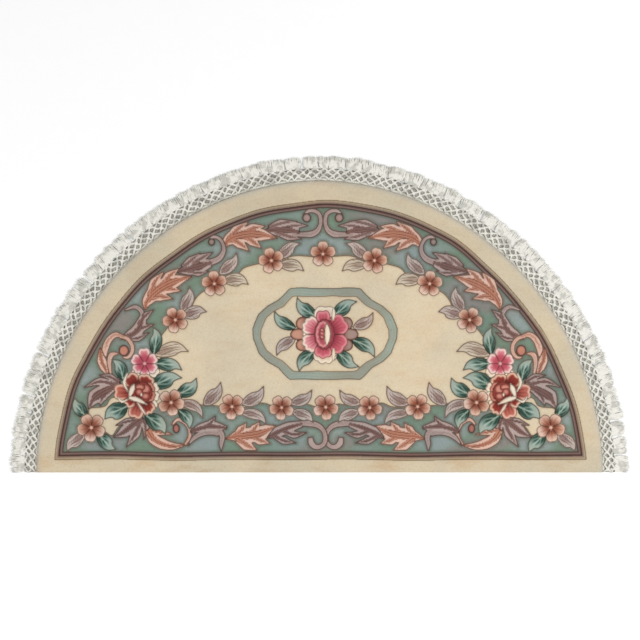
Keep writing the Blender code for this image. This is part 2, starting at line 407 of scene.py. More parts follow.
# %% [markdown]
# ## Acanthus scrolls
#
# An acanthus leaf is a bundle of pointed tongues that leave one root and bend forwards. Each
# scroll is the union of its tongues, so that no outline crosses it. A tongue has a pale margin, a
# dark core that runs back into the leaf, and fine stripes along its spine. Ribbons, the stems of
# the volutes, are tongues with hardly any core. The table gives the right half of the design,
# and each scroll is drawn again on the left, about its own middle.

# %% Yarns of the scrolls and leaves
Yarn = namedtuple("Yarn", "pale deep vein")
YARNS = {
    "mauve": Yarn((176, 157, 152), (122, 92, 86), (82, 60, 57)),
    "salmon": Yarn((216, 182, 166), (180, 124, 102), (112, 66, 52)),
    "green leaf": Yarn((152, 166, 155), (44, 70, 60), (40, 62, 54)),
    "mauve leaf": Yarn((190, 176, 168), (142, 118, 112), (88, 70, 64)),
    "straw leaf": Yarn((204, 190, 170), (158, 136, 120), (100, 82, 72)),
}
MARGIN = 8.5
VEIN_STEP = 5.6

# core is how much of the deep yarn a tongue has; its spine runs from the root to the tip
Tongue = namedtuple("Tongue", "core widths spine")
Scroll = namedtuple("Scroll", "middle yarn tongues")
SCROLLS = (
    Scroll(2, "mauve", (  # beside the top middle, with its volute
        Tongue(1.0, (2, 13, 16, 10), ((127, 520), (104, 523), (80, 523), (54, 518))),
        Tongue(0.7, (6, 9, 0.5), ((118, 527), (92, 537), (58, 541))),
        Tongue(0.7, (6, 9, 0.5), ((92, 524), (64, 532), (35, 532))),
        Tongue(0.7, (6, 9, 0.5), ((102, 518), (76, 509), (48, 503))),
        Tongue(0.2, (5, 6, 7, 6, 4.5, 4.5, 4.5, 4.5, 4, 3),
               ((64, 513), (44, 513), (26, 514), (14, 521), (8, 533), (7, 546), (11, 558), (22, 564),
                (34, 563), (42, 555))),
    )),
    Scroll(1, "salmon", (  # the large leaf at the upper right
        Tongue(0.9, (9, 11, 0.5), ((202, 502), (186, 522), (160, 541))),
        Tongue(0.9, (9, 11, 0.5), ((176, 512), (151, 526), (124, 531))),
        Tongue(0.9, (9, 11, 0.5), ((198, 504), (178, 493), (159, 477))),
        Tongue(0.9, (9, 11, 0.5), ((170, 510), (151, 498), (132, 483))),
        Tongue(1.0, (2, 11, 17, 18, 13, 0.5),
               ((214, 483), (206, 498), (190, 508), (160, 514), (130, 512), (99, 505))),
    )),
    Scroll(1, "mauve", (  # the right shoulder, with its volute
        Tongue(1.0, (2, 13, 17, 9), ((313, 432), (292, 438), (268, 444), (242, 452))),
        Tongue(0.7, (6, 9, 0.5), ((302, 442), (284, 457), (264, 473))),
        Tongue(0.7, (6, 9, 0.5), ((278, 450), (260, 463), (238, 474))),
        Tongue(0.7, (5, 7, 0.5), ((290, 434), (268, 430), (246, 434))),
        Tongue(0.2, (4, 7, 6.5, 5, 4, 4, 4, 3),
               ((262, 451), (240, 454), (223, 462), (214, 477), (215, 491), (222, 503), (234, 508),
                (244, 503))),
    )),
    Scroll(1, "salmon", (  # the large leaf of the right shoulder
        Tongue(0.9, (9, 11, 0.5), ((372, 382), (362, 410), (343, 433))),
        Tongue(0.9, (9, 11, 0.5), ((346, 402), (331, 423), (310, 440))),
        Tongue(0.9, (9, 11, 0.5), ((352, 396), (330, 396), (305, 391))),
        Tongue(0.9, (9, 11, 0.5), ((368, 378), (349, 380), (323, 374))),
        Tongue(1.0, (2, 11, 17, 18, 13, 0.5),
               ((383, 351), (379, 368), (364, 386), (342, 402), (314, 414), (283, 422))),
    )),
    Scroll(1, "mauve", (  # the leaf at the right, with a ribbon up to the frame
        Tongue(0.2, (5, 5, 5, 4.5, 2), ((390, 322), (388, 338), (394, 351), (406, 357), (427, 350))),
        Tongue(0.9, (5, 8, 0.5), ((404, 304), (386, 313), (364, 319))),
        Tongue(0.9, (5, 8, 0.5), ((396, 322), (382, 338), (365, 351))),
        Tongue(1.0, (3, 12, 14, 11, 5), ((435, 290), (416, 295), (400, 306), (391, 324), (386, 344))),
        Tongue(0.9, (3, 7, 0.5), ((424, 288), (398, 290), (374, 302))),
    )),
    Scroll(1, "salmon", (  # the volute that ends the band
        Tongue(0.2, (4, 4.5, 4.5, 4.5, 4, 2),
               ((438, 294), (422, 289), (412, 276), (411, 261), (419, 249), (431, 248))),
        Tongue(0.4, (3, 6, 7, 7.5, 5), ((428, 292), (446, 297), (460, 287), (468, 270), (471, 250))),
    )),
    Scroll(1, "salmon", (  # the drop under it
        Tongue(1.0, (2, 10, 10, 1), ((480, 268), (477, 243), (470, 226), (464, 208))),
    )),
    Scroll(1, "salmon", (  # the stem beside the drop
        Tongue(0.2, (1, 6, 5, 4, 2), ((438, 257), (455, 254), (460, 240), (459, 225), (456, 208))),
    )),
    Scroll(1, "mauve", (  # behind the red peony, to the right
        Tongue(0.9, (4, 7, 0.5), ((438, 194), (458, 206), (482, 210))),
        Tongue(0.9, (5, 9, 0.5), ((445, 189), (480, 196), (514, 184))),
        Tongue(0.9, (5, 9, 0.5), ((456, 180), (474, 162), (480, 144))),
        Tongue(1.0, (3, 15, 17, 1), ((435, 190), (466, 178), (491, 162), (505, 138))),
    )),
    Scroll(1, "mauve", (  # below it
        Tongue(0.9, (4, 8, 0.5), ((388, 116), (382, 98), (386, 72))),
        Tongue(0.9, (5, 11, 0.5), ((392, 114), (404, 84), (423, 56))),
        Tongue(0.9, (4, 7, 0.5), ((398, 114), (422, 110), (446, 102))),
        Tongue(1.0, (4, 14, 13, 0.5), ((388, 118), (408, 104), (428, 88), (451, 76))),
    )),
    Scroll(4, "salmon", (  # the arch and its leaf in the bottom band
        Tongue(0.2, (3, 4, 4, 4, 4, 2),
               ((303, 60), (293, 78), (295, 97), (305, 109), (319, 114), (331, 103))),
        Tongue(0.8, (4, 8, 0.5), ((382, 92), (360, 88), (330, 82))),
        Tongue(1.0, (6, 12, 12, 8, 1), ((384, 92), (372, 74), (352, 62), (328, 57), (301, 60))),
    )),
    Scroll(6, "mauve", (  # the leaf and arch to its left
        Tongue(0.9, (6, 7, 0.5), ((264, 98), (250, 109), (242, 122))),
        Tongue(0.2, (7, 6, 5, 1), ((234, 92), (227, 78), (229, 62), (229, 47))),
        Tongue(0.2, (4, 6, 6, 5, 1), ((234, 82), (252, 87), (272, 84), (288, 74), (301, 58))),
        Tongue(1.0, (3, 9, 12, 11, 3), ((295, 88), (276, 95), (258, 99), (240, 99), (217, 97))),
    )),
    Scroll(7, "salmon", (  # the large leaf of the bottom band
        Tongue(0.9, (8, 10, 0.5), ((198, 80), (187, 93), (177, 107))),
        Tongue(0.9, (8, 10, 0.5), ((170, 83), (158, 96), (148, 110))),
        Tongue(0.9, (9, 13, 0.5), ((196, 74), (176, 60), (154, 48))),
        Tongue(0.9, (8, 11, 0.5), ((166, 80), (147, 70), (126, 63))),
        Tongue(1.0, (1, 11, 17, 17, 13, 0.5),
               ((221, 73), (200, 78), (176, 80), (150, 84), (130, 92), (113, 101))),
    )),
    Scroll(8, "mauve", (  # beside the bottom middle, with its volute
        Tongue(0.9, (5, 8, 0.5), ((120, 80), (98, 69), (72, 64))),
        Tongue(0.9, (5, 8, 0.5), ((100, 90), (76, 82), (49, 86))),
        Tongue(1.0, (2, 12, 12, 7), ((133, 75), (112, 87), (88, 97), (60, 105))),
        Tongue(0.2, (6, 7, 6, 5, 5, 5, 5, 6, 7, 5),
               ((64, 106), (44, 106), (26, 102), (14, 92), (9, 78), (11, 64), (20, 56), (31, 56),
                (39, 64), (41, 76))),
    )),
)
print(len(SCROLLS), "scrolls a side, of", sum(len(scroll.tongues) for scroll in SCROLLS), "tongues")


# %% Painting a scroll
def paint_scroll(cloth, yarn, tongues):
    """All the tongues as one shape; where they overlap, the one with the most core wins."""
    drawn = [stroke(tongue.spine, tongue.widths) for tongue in tongues]

    def colour(at, depth):
        share = np.zeros(len(at))
        weight = np.zeros(len(at))
        stripes = np.zeros(len(at))
        for tongue, (track, _) in zip(tongues, drawn):
            away, along, _ = nearest(at, track)
            half = width_at(along, tongue.widths)
            margin = np.minimum(MARGIN, 0.66 * half) * (0.45 + 0.55 * ease(0.0, 0.4, along))
            own = ease(margin - 0.7, margin + 0.7, half - away)
            strength = tongue.core * np.where(tongue.core < 1, ease(1.0, 0.6, along), 1.0)
            better = own * strength > share * weight
            share = np.where(better, own, share)
            weight = np.where(better, strength, weight)
            ridge = 0.5 + 0.5 * np.cos(away * 2 * math.pi / VEIN_STEP)
            fade = ease(1.0, 0.7, along)
            stripes = np.where(better, ease(0.6, 0.95, ridge) * fade, stripes)
        tone = blend(yarn.pale, yarn.deep, share * weight)
        tone = blend(tone, yarn.vein, 3.2 * share * (1 - share) * weight)
        tone = blend(tone, yarn.vein, 0.8 * stripes * share * weight)
        return blend(tone, yarn.vein, 0.2 * ease(2.5, 0.5, depth))

    cloth.paint([outline for _, outline in drawn], colour, lift=1.0)


def paint_scrolls(cloth):
    for scroll in SCROLLS:
        yarn = YARNS[scroll.yarn]
        paint_scroll(cloth, yarn, scroll.tongues)
        flipped = [tongue._replace(spine=mirrored(tongue.spine, scroll.middle))
                   for tongue in scroll.tongues]
        paint_scroll(cloth, yarn, flipped)


# %% [markdown]
# ## Bulbs and leaves
#
# Each volute winds round a bulb, shaded from its edge. A leaf is one stroke whose widths follow a
# rule: it swells to a belly and runs out to a hooked point. Green leaves are dark at the root,
# with a light forked rib, and pale at the tip. The mauve and straw ones have a dark flame in
# a pale blade.

# %% Where the bulbs and leaves lie
Bulb = namedtuple("Bulb", "middle x y across up tone")
BULBS = (
    Bulb(2, 35, 549, 8.5, 9, (162, 136, 131)),
    Bulb(1, 239, 497, 6.5, 7, (148, 130, 124)),
    Bulb(1, 428, 263, 10, 11, (190, 130, 112)),
    Bulb(4, 318, 95, 6.5, 9, (168, 108, 98)),
)

Leaf = namedtuple("Leaf", "middle yarn belly spine")
LEAVES = (
    Leaf(2, "mauve leaf", 13, ((99, 463), (80, 478), (54, 498))),
    Leaf(2, "straw leaf", 13, ((96, 448), (70, 447), (42, 439))),
    Leaf(0, "mauve leaf", 13, ((220, 428), (200, 445), (180, 470))),
    Leaf(0, "straw leaf", 14, ((213, 415), (186, 416), (158, 410))),
    Leaf(1, "mauve leaf", 13, ((305, 348), (292, 370), (284, 399))),
    Leaf(1, "mauve leaf", 14, ((302, 338), (279, 345), (252, 351))),
    Leaf(1, "straw leaf", 15, ((362, 254), (328, 266), (290, 267))),
    Leaf(1, "green leaf", 13, ((364, 256), (360, 282), (361, 314))),
    Leaf(1, "green leaf", 14, ((364, 236), (334, 233), (303, 226))),
    Leaf(1, "green leaf", 17, ((370, 186), (342, 198), (306, 210))),
    Leaf(1, "green leaf", 13, ((430, 200), (435, 222), (451, 246))),
    Leaf(1, "green leaf", 18, ((422, 143), (444, 133), (472, 120))),
    Leaf(1, "green leaf", 17, ((382, 124), (359, 108), (336, 87))),
    Leaf(4, "green leaf", 15, ((320, 168), (298, 178), (275, 200))),
    Leaf(4, "green leaf", 12, ((316, 134), (300, 120), (290, 96))),
    Leaf(4, "mauve leaf", 11, ((315, 152), (287, 145), (261, 122))),
    Leaf(6, "mauve leaf", 14, ((266, 146), (247, 164), (226, 191))),
    Leaf(7, "mauve leaf", 14, ((186, 148), (162, 158), (136, 182))),
    Leaf(7, "mauve leaf", 11, ((190, 130), (160, 126), (131, 108))),
    Leaf(8, "mauve leaf", 12, ((84, 149), (60, 156), (35, 174))),
    Leaf(8, "mauve leaf", 12, ((80, 132), (57, 125), (33, 112))),
    Leaf(-2, "green leaf", 13, ((504, 120), (518, 137), (532, 159))),
    Leaf(-2, "green leaf", 14, ((480, 84), (463, 67), (443, 47))),
    Leaf(-2, "mauve leaf", 13, ((506, 85), (528, 68), (548, 49))),
)
RING_LEAVES = (
    Leaf(5, "green leaf", 14, ((-12, 336), (-35, 350), (-57, 373))),
    Leaf(5, "green leaf", 12, ((-58, 311), (-82, 322), (-106, 344))),
    Leaf(5, "mauve leaf", 12, ((-58, 290), (-80, 277), (-101, 256))),
    Leaf(5, "green leaf", 14, ((-16, 262), (-36, 246), (-53, 221))),
    Leaf(5, "green leaf", 14, ((30, 262), (50, 245), (76, 224))),
    Leaf(5, "green leaf", 14, ((66, 286), (90, 276), (117, 253))),
    Leaf(5, "mauve leaf", 12, ((68, 312), (90, 321), (113, 341))),
    Leaf(5, "green leaf", 14, ((24, 337), (44, 353), (72, 373))),
)
TEAL = (94, 120, 112)
RIB_GREEN = (176, 194, 180)
TIP_GREEN = (180, 192, 178)
BULB_SHADE = (96, 70, 64)
LEAF_SWELL = 0.38
LEAF_FALL = 0.3
LEAF_POINT = 1.25
LEAF_HOOK = 0.16
print(len(LEAVES), "leaves and", len(BULBS), "bulbs a side,", len(RING_LEAVES), "leaves in the ring")


# %% Painting leaves and bulbs
def oval(x, y, across, up, turn=0.0):
    angle = np.linspace(0, 2 * math.pi, 28, endpoint=False)
    cos, sin = math.cos(turn), math.sin(turn)
    px, py = across * np.cos(angle), up * np.sin(angle)
    return np.stack((x + px * cos - py * sin, y + px * sin + py * cos), 1)


def leaf_widths(belly):
    """Half widths that rise fast from the root and run out to a long point."""
    share = np.linspace(0, 1, 11)
    rise = 0.5 + 0.5 * np.sin(np.clip(share / LEAF_SWELL, 0, 1) * math.pi / 2)
    fall = np.cos(np.clip((share - LEAF_FALL) / (1 - LEAF_FALL), 0, 1) * math.pi / 2) ** LEAF_POINT
    return tuple(belly * rise * fall * np.clip(0.3 + share * 6, 0, 1) + 0.3)


def hooked(spine):
    """The spine with its last stretch swept round a little more, as a leaf's tip hooks."""
    (x0, y0), (x1, y1), (x2, y2) = spine
    bend = (x1 - x0) * (y2 - y1) - (y1 - y0) * (x2 - x1)
    lean = math.copysign(LEAF_HOOK, bend)
    tip = (x2 - lean * (y2 - y1), y2 + lean * (x2 - x1))
    return [(x0, y0), (x1, y1), ((x1 + x2) / 2 + lean * (y2 - y1) * 0.3,
                                 (y1 + y2) / 2 - lean * (x2 - x1) * 0.3), tip]


def paint_leaf(cloth, kind, belly, spine):
    yarn = YARNS[kind]
    widths = leaf_widths(belly)
    track, outline = stroke(hooked(spine), widths)

    def green(at, depth):
        away, along, side = nearest(at, track)
        across = side * away / np.maximum(width_at(along, widths), 2.0)
        front = along + 0.05 * np.cos(across * 9) + 0.12 * across
        tone = blend(yarn.deep, TEAL, ease(0.36, 0.52, front))
        tone = blend(tone, yarn.pale, ease(0.48, 0.66, front))
        tone = blend(tone, yarn.pale, 0.4 * ease(4.0, 2.0, depth) * ease(0.15, 0.3, along))
        tone = blend(tone, TIP_GREEN, 0.4 * ease(0.6, 0.95, front))
        rib = ease(1.9, 0.7, away) * ease(0.75, 0.55, along)
        reach = np.clip((along - 0.16) / 0.42, 0, 1)
        fork = ease(0.16, 0.05, np.abs(np.abs(across) - 0.75 * reach)) * ease(0.6, 0.45, along)
        return blend(tone, RIB_GREEN, 0.85 * np.maximum(rib, 0.6 * fork * ease(0.1, 0.2, along)))

    def flamed(at, depth):
        away, along, side = nearest(at, track)
        across = side * away / np.maximum(width_at(along, widths), 2.0)
        flame = ease(0.8, 0.5, along + 0.5 * np.abs(across)) * ease(2.5, 4.5, depth)
        tone = blend(yarn.pale, yarn.deep, 0.9 * flame)
        ridge = 0.5 + 0.5 * np.cos(away * 2 * math.pi / VEIN_STEP + 1.2 * side + 5 * along)
        streaks = ease(0.6, 0.95, ridge) * ease(2.0, 4.0, depth) * ease(0.9, 0.6, along)
        return blend(tone, yarn.vein, 0.75 * streaks)

    cloth.paint([outline], green if kind == "green leaf" else flamed, lift=0.8)


def paint_bulb(cloth, bulb, x):
    def colour(at, depth):
        return blend(blend(bulb.tone, BULB_SHADE, 0.6), bulb.tone, ease(0.0, 4.0, depth))

    cloth.paint([oval(x, bulb.y, bulb.across, bulb.up)], colour, lift=1.2)


def paint_leaves(cloth):
    for leaf in LEAVES:
        paint_leaf(cloth, leaf.yarn, leaf.belly, leaf.spine)
        paint_leaf(cloth, leaf.yarn, leaf.belly, mirrored(leaf.spine, leaf.middle))
    for leaf in RING_LEAVES:
        paint_leaf(cloth, leaf.yarn, leaf.belly, leaf.spine)
    for bulb in BULBS:
        paint_bulb(cloth, bulb, bulb.middle + bulb.x)
        paint_bulb(cloth, bulb, bulb.middle - bulb.x)


# %% [markdown]
# ## Flowers
#
# The small flowers have five round petals, rust at the root and pale at the rim. The large ones
# are built of fans: a petal that widens from the flower's middle to a scalloped end, dark at the
# root with a pale rim. A peony or a rose is rings of fans, then a bud over their middle.

# %% Petals
Bloom = namedtuple("Bloom", "middle x y radius turn")
SMALL_FLOWERS = (
    Bloom(2, 111, 457, 28, 75),
    Bloom(0, 232, 407, 28, 85),
    Bloom(1, 317, 329, 28, 65),
    Bloom(4, 329, 151, 29, 45),
    Bloom(-2, 495, 97, 31, 60),
    Bloom(6, 200, 142, 28, 60),
    Bloom(8, 95, 140, 27, 60),
)
MIDDLE_FLOWERS = (
    Bloom(2, 0, 471, 28, 90),
    Bloom(8, 0, 141, 28, 60),
)
FLOWER_PETALS = 5
RUST = (124, 62, 44)
PETAL_TIPS = ((210, 176, 158), (198, 158, 138), (218, 190, 176))
PETAL_RIM = (228, 202, 184)
FLOWER_EYE = (228, 178, 158)
FLOWER_EYE_SIZE = 0.14
PETAL_REACH = 0.64
PETAL_ROUND = 0.40
PETAL_NOTCH = 0.06
NOTCH_WIDTH = 0.15

# A large flower's petals: a scallop is a share of the length, as are the corner's cut and the root
SCALLOP = 0.06
FAN_CORNER = 0.22
FAN_ROOT = 0.08

Fan = namedtuple("Fan", "yarn heading spread length scallops")
Petal = namedtuple("Petal", "root middle rim")
PETALS = {
    "cream": Petal((196, 160, 140), (222, 202, 180), (232, 218, 198)),
    "pink": Petal((178, 76, 92), (214, 140, 146), (234, 206, 200)),
    "blush": Petal((168, 72, 88), (218, 150, 154), (238, 220, 204)),
    "rose": Petal((140, 52, 66), (194, 96, 110), (216, 138, 144)),
    "red": Petal((88, 24, 20), (142, 56, 46), (222, 184, 160)),
    "dusk": Petal((92, 28, 24), (140, 56, 48), (196, 130, 112)),
    "coral": Petal((118, 42, 36), (180, 102, 86), (224, 180, 160)),
}
PINK_FLOWER = (
    Fan("pink", -92, 60, 28, 2),
    Fan("pink", -34, 62, 29, 2),
    Fan("pink", 24, 62, 31, 2),
    Fan("pink", -148, 62, 30, 2),
    Fan("pink", 150, 62, 30, 2),
    Fan("pink", 87, 60, 34, 2),
)
PINK_UNDER = (Fan("cream", 222, 48, 38, 2), Fan("cream", -52, 46, 42, 3))
PEONY = (
    Fan("cream", 158, 42, 40, 2),
    Fan("cream", 194, 40, 40, 2),
    Fan("cream", 228, 38, 46, 2),
    Fan("cream", 72, 40, 44, 2),
    Fan("red", 250, 56, 50, 4),
    Fan("coral", 286, 46, 58, 2),
    Fan("red", 322, 46, 44, 2),
    Fan("coral", 2, 46, 60, 2),
    Fan("red", 110, 70, 42, 3),
    Fan("red", 52, 56, 50, 2),
    Fan("dusk", 150, 60, 31, 2),
    Fan("dusk", 200, 60, 31, 2),
)
ROSE = (
    Fan("cream", 88, 62, 62, 2),
    Fan("cream", 272, 62, 64, 4),
    Fan("blush", 180, 50, 46, 3),
    Fan("blush", 148, 62, 52, 4),
    Fan("blush", 212, 62, 52, 4),
    Fan("rose", 266, 58, 52, 3),
    Fan("rose", 94, 46, 52, 2),
    Fan("rose", 0, 50, 46, 2),
    Fan("rose", -34, 66, 54, 2),
    Fan("rose", 34, 66, 56, 2),
)
print(len(SMALL_FLOWERS), "pairs of small flowers; a peony has", len(PEONY), "petals, the rose", len(ROSE))


# %% Painting small flowers and petals
def paint_small_flower(cloth, x, y, radius, turn):
    half = math.pi / FLOWER_PETALS
    angles = np.linspace(-half, half, 10, endpoint=False)
    root = np.sqrt(np.maximum(PETAL_ROUND ** 2 - (PETAL_REACH * np.sin(angles)) ** 2, 0.0))
    notch = 1 - PETAL_NOTCH * np.exp(-(angles / NOTCH_WIDTH) ** 2)
    radii = radius * (PETAL_REACH * np.cos(angles) + root) * notch
    outline = []
    for petal in range(FLOWER_PETALS):
        heading = math.radians(turn) + 2 * half * petal + angles
        outline.append(np.stack((x + radii * np.cos(heading), y + radii * np.sin(heading)), 1))

    def colour(at, depth):
        dx, dy = at[:, 0] - x, at[:, 1] - y
        away = np.hypot(dx, dy) / radius
        turned = (np.degrees(np.arctan2(dy, dx)) - turn) / (360 / FLOWER_PETALS) + 0.5
        petal = np.floor(turned % FLOWER_PETALS).astype(int)
        tips = np.array(PETAL_TIPS, float)[petal % len(PETAL_TIPS)]
        streak = 0.5 + 0.5 * np.cos((turned % 1 - 0.5) * 2 * math.pi * 3)
        share = ease(0.15, 0.85, away - 0.12 * streak)
        tone = blend(RUST, tips, 0.08 + 0.92 * share)
        return blend(tone, PETAL_RIM, 0.6 * ease(4.5, 2.0, depth) * ease(0.5, 0.8, away))

    cloth.paint([np.vstack(outline)], colour, lift=1.2, faint=0.3)
    for petal in range(FLOWER_PETALS):
        heading = math.radians(turn + (petal + 0.5) * 360 / FLOWER_PETALS)
        cos, sin = math.cos(heading), math.sin(heading)
        cloth.draw([(x + radius * share * cos, y + radius * share * sin) for share in (0.2, 0.64)])
    eye = radius * FLOWER_EYE_SIZE
    cloth.paint([oval(x, y, eye, eye)], FLOWER_EYE, lift=1.4, faint=0.3)


def paint_fan(cloth, x, y, fan, side=1):
    """One scalloped petal of a large flower; side is -1 for a flower that is mirrored."""
    middle = fan.heading if side > 0 else 180 - fan.heading
    share = np.linspace(-1, 1, 8 * fan.scallops + 1)
    angle = np.radians(middle + share * fan.spread / 2)
    scallop = 1 - SCALLOP + SCALLOP * np.abs(np.sin(math.pi * fan.scallops * (share + 1) / 2))
    reach = fan.length * (1 - FAN_CORNER * np.abs(share) ** 3) * scallop
    root = np.radians(middle + np.array((1, -1)) * fan.spread / 2)
    reach = np.concatenate((reach, np.full(2, FAN_ROOT * fan.length)))
    angle = np.concatenate((angle, root))
    outline = np.stack((x + reach * np.cos(angle), y + reach * np.sin(angle)), 1)
    yarn = PETALS[fan.yarn]

    def colour(at, depth):
        dx, dy = at[:, 0] - x, at[:, 1] - y
        away = np.hypot(dx, dy) / fan.length
        streak = 0.5 + 0.5 * np.cos(np.degrees(np.arctan2(dy, dx)) * 0.6)
        tone = blend(yarn.root, yarn.middle, ease(0.3, 0.8, away - 0.14 * streak))
        return blend(tone, yarn.rim, ease(7.0, 3.0, depth) * ease(0.5, 0.78, away))

    cloth.paint([outline], colour, lift=1.2, faint=0.5)


# %% Painting the flowers
def paint_pink_flower(cloth, x, y, side):
    for fan in PINK_UNDER + PINK_FLOWER:
        paint_fan(cloth, x, y, fan, side)
    cloth.paint([oval(x, y, 4.2, 4.2)], (226, 160, 162), lift=1.5, faint=0.5)


def paint_peony(cloth, x, y, side):
    for fan in PEONY:
        paint_fan(cloth, x, y, fan, side)
    cream = PETALS["cream"].rim

    def place(points):
        return [(x + side * across, y + up) for across, up in points]

    def sliver(points, widths, tone=cream):
        cloth.paint([stroke(place(points), widths)[1]], tone, lift=1.4, faint=0.6)

    sliver(((30, 42), (37, 22), (29, 2)), (1.5, 3.5, 1.0))
    sliver(((28, -13), (42, -19), (52, -8)), (1.0, 3.0, 1.0))
    sliver(((9, -20), (0, -34), (-9, -47)), (1.0, 3.0, 1.5), (232, 206, 190))
    cloth.paint([oval(x - side * 2, y + 1, 21, 22)], cup, lift=1.2, faint=0.4)
    for across, up, half, high in ((-9, 8, 11, 11), (3, 12, 11, 8), (-9, -7, 9, 8), (5, 2, 8, 8)):
        cloth.paint([oval(x + side * across, y + up, half, high)], bud, lift=1.4, faint=1.2)
    cloth.paint([oval(x, y - 4, 2.0, 3.2)], cream, lift=1.4, faint=1.0)
    sliver(((15, 19), (21, 5), (26, -11)), (0.5, 5.5, 4.5, 1.0))
    sliver(((27, -10), (9, -15), (-12, -25)), (2.5, 5.0, 4.0, 0.5))


def cup(at, depth):
    """The dark hollow of the peony, a little lighter at its edge."""
    return blend((104, 34, 30), (152, 66, 54), ease(7.0, 1.0, depth))


def bud(at, depth):
    """A curled petal of the peony's bud, lighter in its middle."""
    return blend((136, 60, 52), (200, 138, 122), ease(0.5, 6.5, depth))


def ruffled(x, y, across, up, waves):
    """An oval whose edge is ruffled like a half-open bud."""
    angle = np.linspace(0, 2 * math.pi, 8 * waves, endpoint=False)
    reach = 1 - SCALLOP + SCALLOP * np.abs(np.cos(waves * angle / 2))
    return np.stack((x + across * reach * np.cos(angle), y + up * reach * np.sin(angle)), 1)


def paint_rose(cloth):
    x, y = 5, 298
    for side, tone in ((-1, (194, 144, 122)), (1, (160, 136, 128))):
        for across, up, half, high in ((46, 23, 15, 14), (46, -23, 15, 13), (56, 0, 17, 12)):
            def colour(at, depth):
                away = side * (at[:, 0] - x)
                return blend((116, 74, 64), tone, ease(32, 56, away) * ease(-1.0, 5.0, depth))

            cloth.paint([oval(x + side * across, y + up, half, high)], colour, lift=1.0, faint=0.5)
    for fan in ROSE:
        paint_fan(cloth, x, y, fan)
    for top, foot in ((57, 30), (-30, -57)):
        strip = [(x + 20, y + top), (x + 20, y + (top + foot) / 2), (x + 19, y + foot)]
        cloth.paint([stroke(strip, (1, 3.5, 3.5, 1))[1]], PETALS["cream"].rim, lift=1.3, faint=0.8)
    cloth.paint([ruffled(x, y, 22, 33, 14)], (150, 62, 76), lift=1.3, faint=0.6)

    def ruffles(at, depth):
        turn = np.arctan2(at[:, 1] - y, 1.6 * (at[:, 0] - x + 3))
        fold = 0.5 + 0.5 * np.cos(12 * turn)
        return blend((222, 146, 150), (172, 84, 96), ease(3.5, 7.0, depth + 1.5 * fold))

    cloth.paint([ruffled(x - 2, y, 17, 29, 12)], ruffles, lift=1.4, faint=0.6)
    cloth.paint([oval(x - 5, y + 1, 6, 13)], (150, 74, 78), lift=1.3, faint=0.9)
    for seed in (9, 2, -6):
        cloth.paint([oval(x - 5, y + seed, 2.2, 2.2)], (214, 148, 140), lift=1.4, faint=1.2)
    slit = [(x + 5, y + 25), (x + 7, y), (x + 5, y - 25)]
    cloth.paint([stroke(slit, (0.3, 5, 6, 5, 0.3))[1]], (238, 224, 204), lift=1.5, faint=0.4)


def paint_pattern(cloth):
    """Everything on the cloth, back to front."""
    paint_ground(cloth)
    paint_scrolls(cloth)
    paint_leaves(cloth)
    for side in (1, -1):
        paint_pink_flower(cloth, 1 + side * 383, 235, side)
        paint_peony(cloth, 1 + side * 390, 172, side)
    for bloom in SMALL_FLOWERS:
        paint_small_flower(cloth, bloom.middle + bloom.x, bloom.y, bloom.radius, bloom.turn)
        paint_small_flower(cloth, bloom.middle - bloom.x, bloom.y, bloom.radius, 180 - bloom.turn)
    for bloom in MIDDLE_FLOWERS:
        paint_small_flower(cloth, bloom.middle, bloom.y, bloom.radius, bloom.turn)
    paint_rose(cloth)
    shade_ground(cloth)


print(2 * len(SMALL_FLOWERS) + len(MIDDLE_FLOWERS), "small flowers, two posies and a rose")

# %% [markdown]
# ## From the drawing to points
#
# A carved outline is crisp only if points of the mesh lie on it. So the pattern is painted twice.
# The first time the cloth has no points, and only the outlines are kept. Then points are set
# along every outline and on a triangular lattice, all of them are painted, and those on outlines
# that a later motif hid are dropped. Plain ground keeps every third point of every third row.

# %% Points along the outlines and on a lattice
PITCH = 2.17
COARSE = 3


def lattice(pitch):
    """Rows of points a triangle's height apart, and which of them a coarse lattice keeps."""
    rows = np.arange(0, CLOTH_DEPTH, pitch * math.sqrt(3) / 2)
    columns = np.arange(-CLOTH_HALF - 10, CLOTH_HALF, pitch)
    x, y = np.meshgrid(columns, rows)
    x[1::2] += pitch / 2
    row, column = np.meshgrid(np.arange(len(rows)), np.arange(len(columns)), indexing="ij")
    kept = (row % COARSE == 0) & (column % COARSE == 0)
    return np.stack((x.ravel(), y.ravel()), 1), kept.ravel()


sketch = Cloth(np.zeros((0, 2)))
paint_pattern(sketch)
marks = [along_chain(chain, PITCH) for chain, _ in sketch.chains]
faint = np.concatenate([np.full(len(mark), chain[1]) for mark, chain in zip(marks, sketch.chains)])
spread, coarse = lattice(PITCH)
print(len(sketch.chains), "outlines,", len(faint), "points on them,", len(spread), "on the lattice")

# %% [markdown]
# ## Painting, choosing and joining the points
#
# The chosen points are joined by a Delaunay triangulation, which makes well-shaped triangles of
# any scatter of points. The cloth's edge is a chain of fixed edges in it.

# %% Paint all the points and choose
RIM_STEP = 3.0
RIM_INSET = 0.8
RIM_CLEAR = 1.3

# In shares of the pitch: how far lattice points keep from a line, and how far off all of them stay
CLEAR = 0.60
FINE = 2.2

# A point of an outline is dropped once the nearest visible line is further off than this
HIDDEN = 0.15


def well_inside(at, outline, margin):
    """Which points lie inside an outline, and further from it than the margin."""
    probe, rows, chain = Cloth(at), np.arange(len(at)), looped(outline)
    return probe.held(rows, chain) & (probe.distance(rows, chain, 2 * margin) > margin)


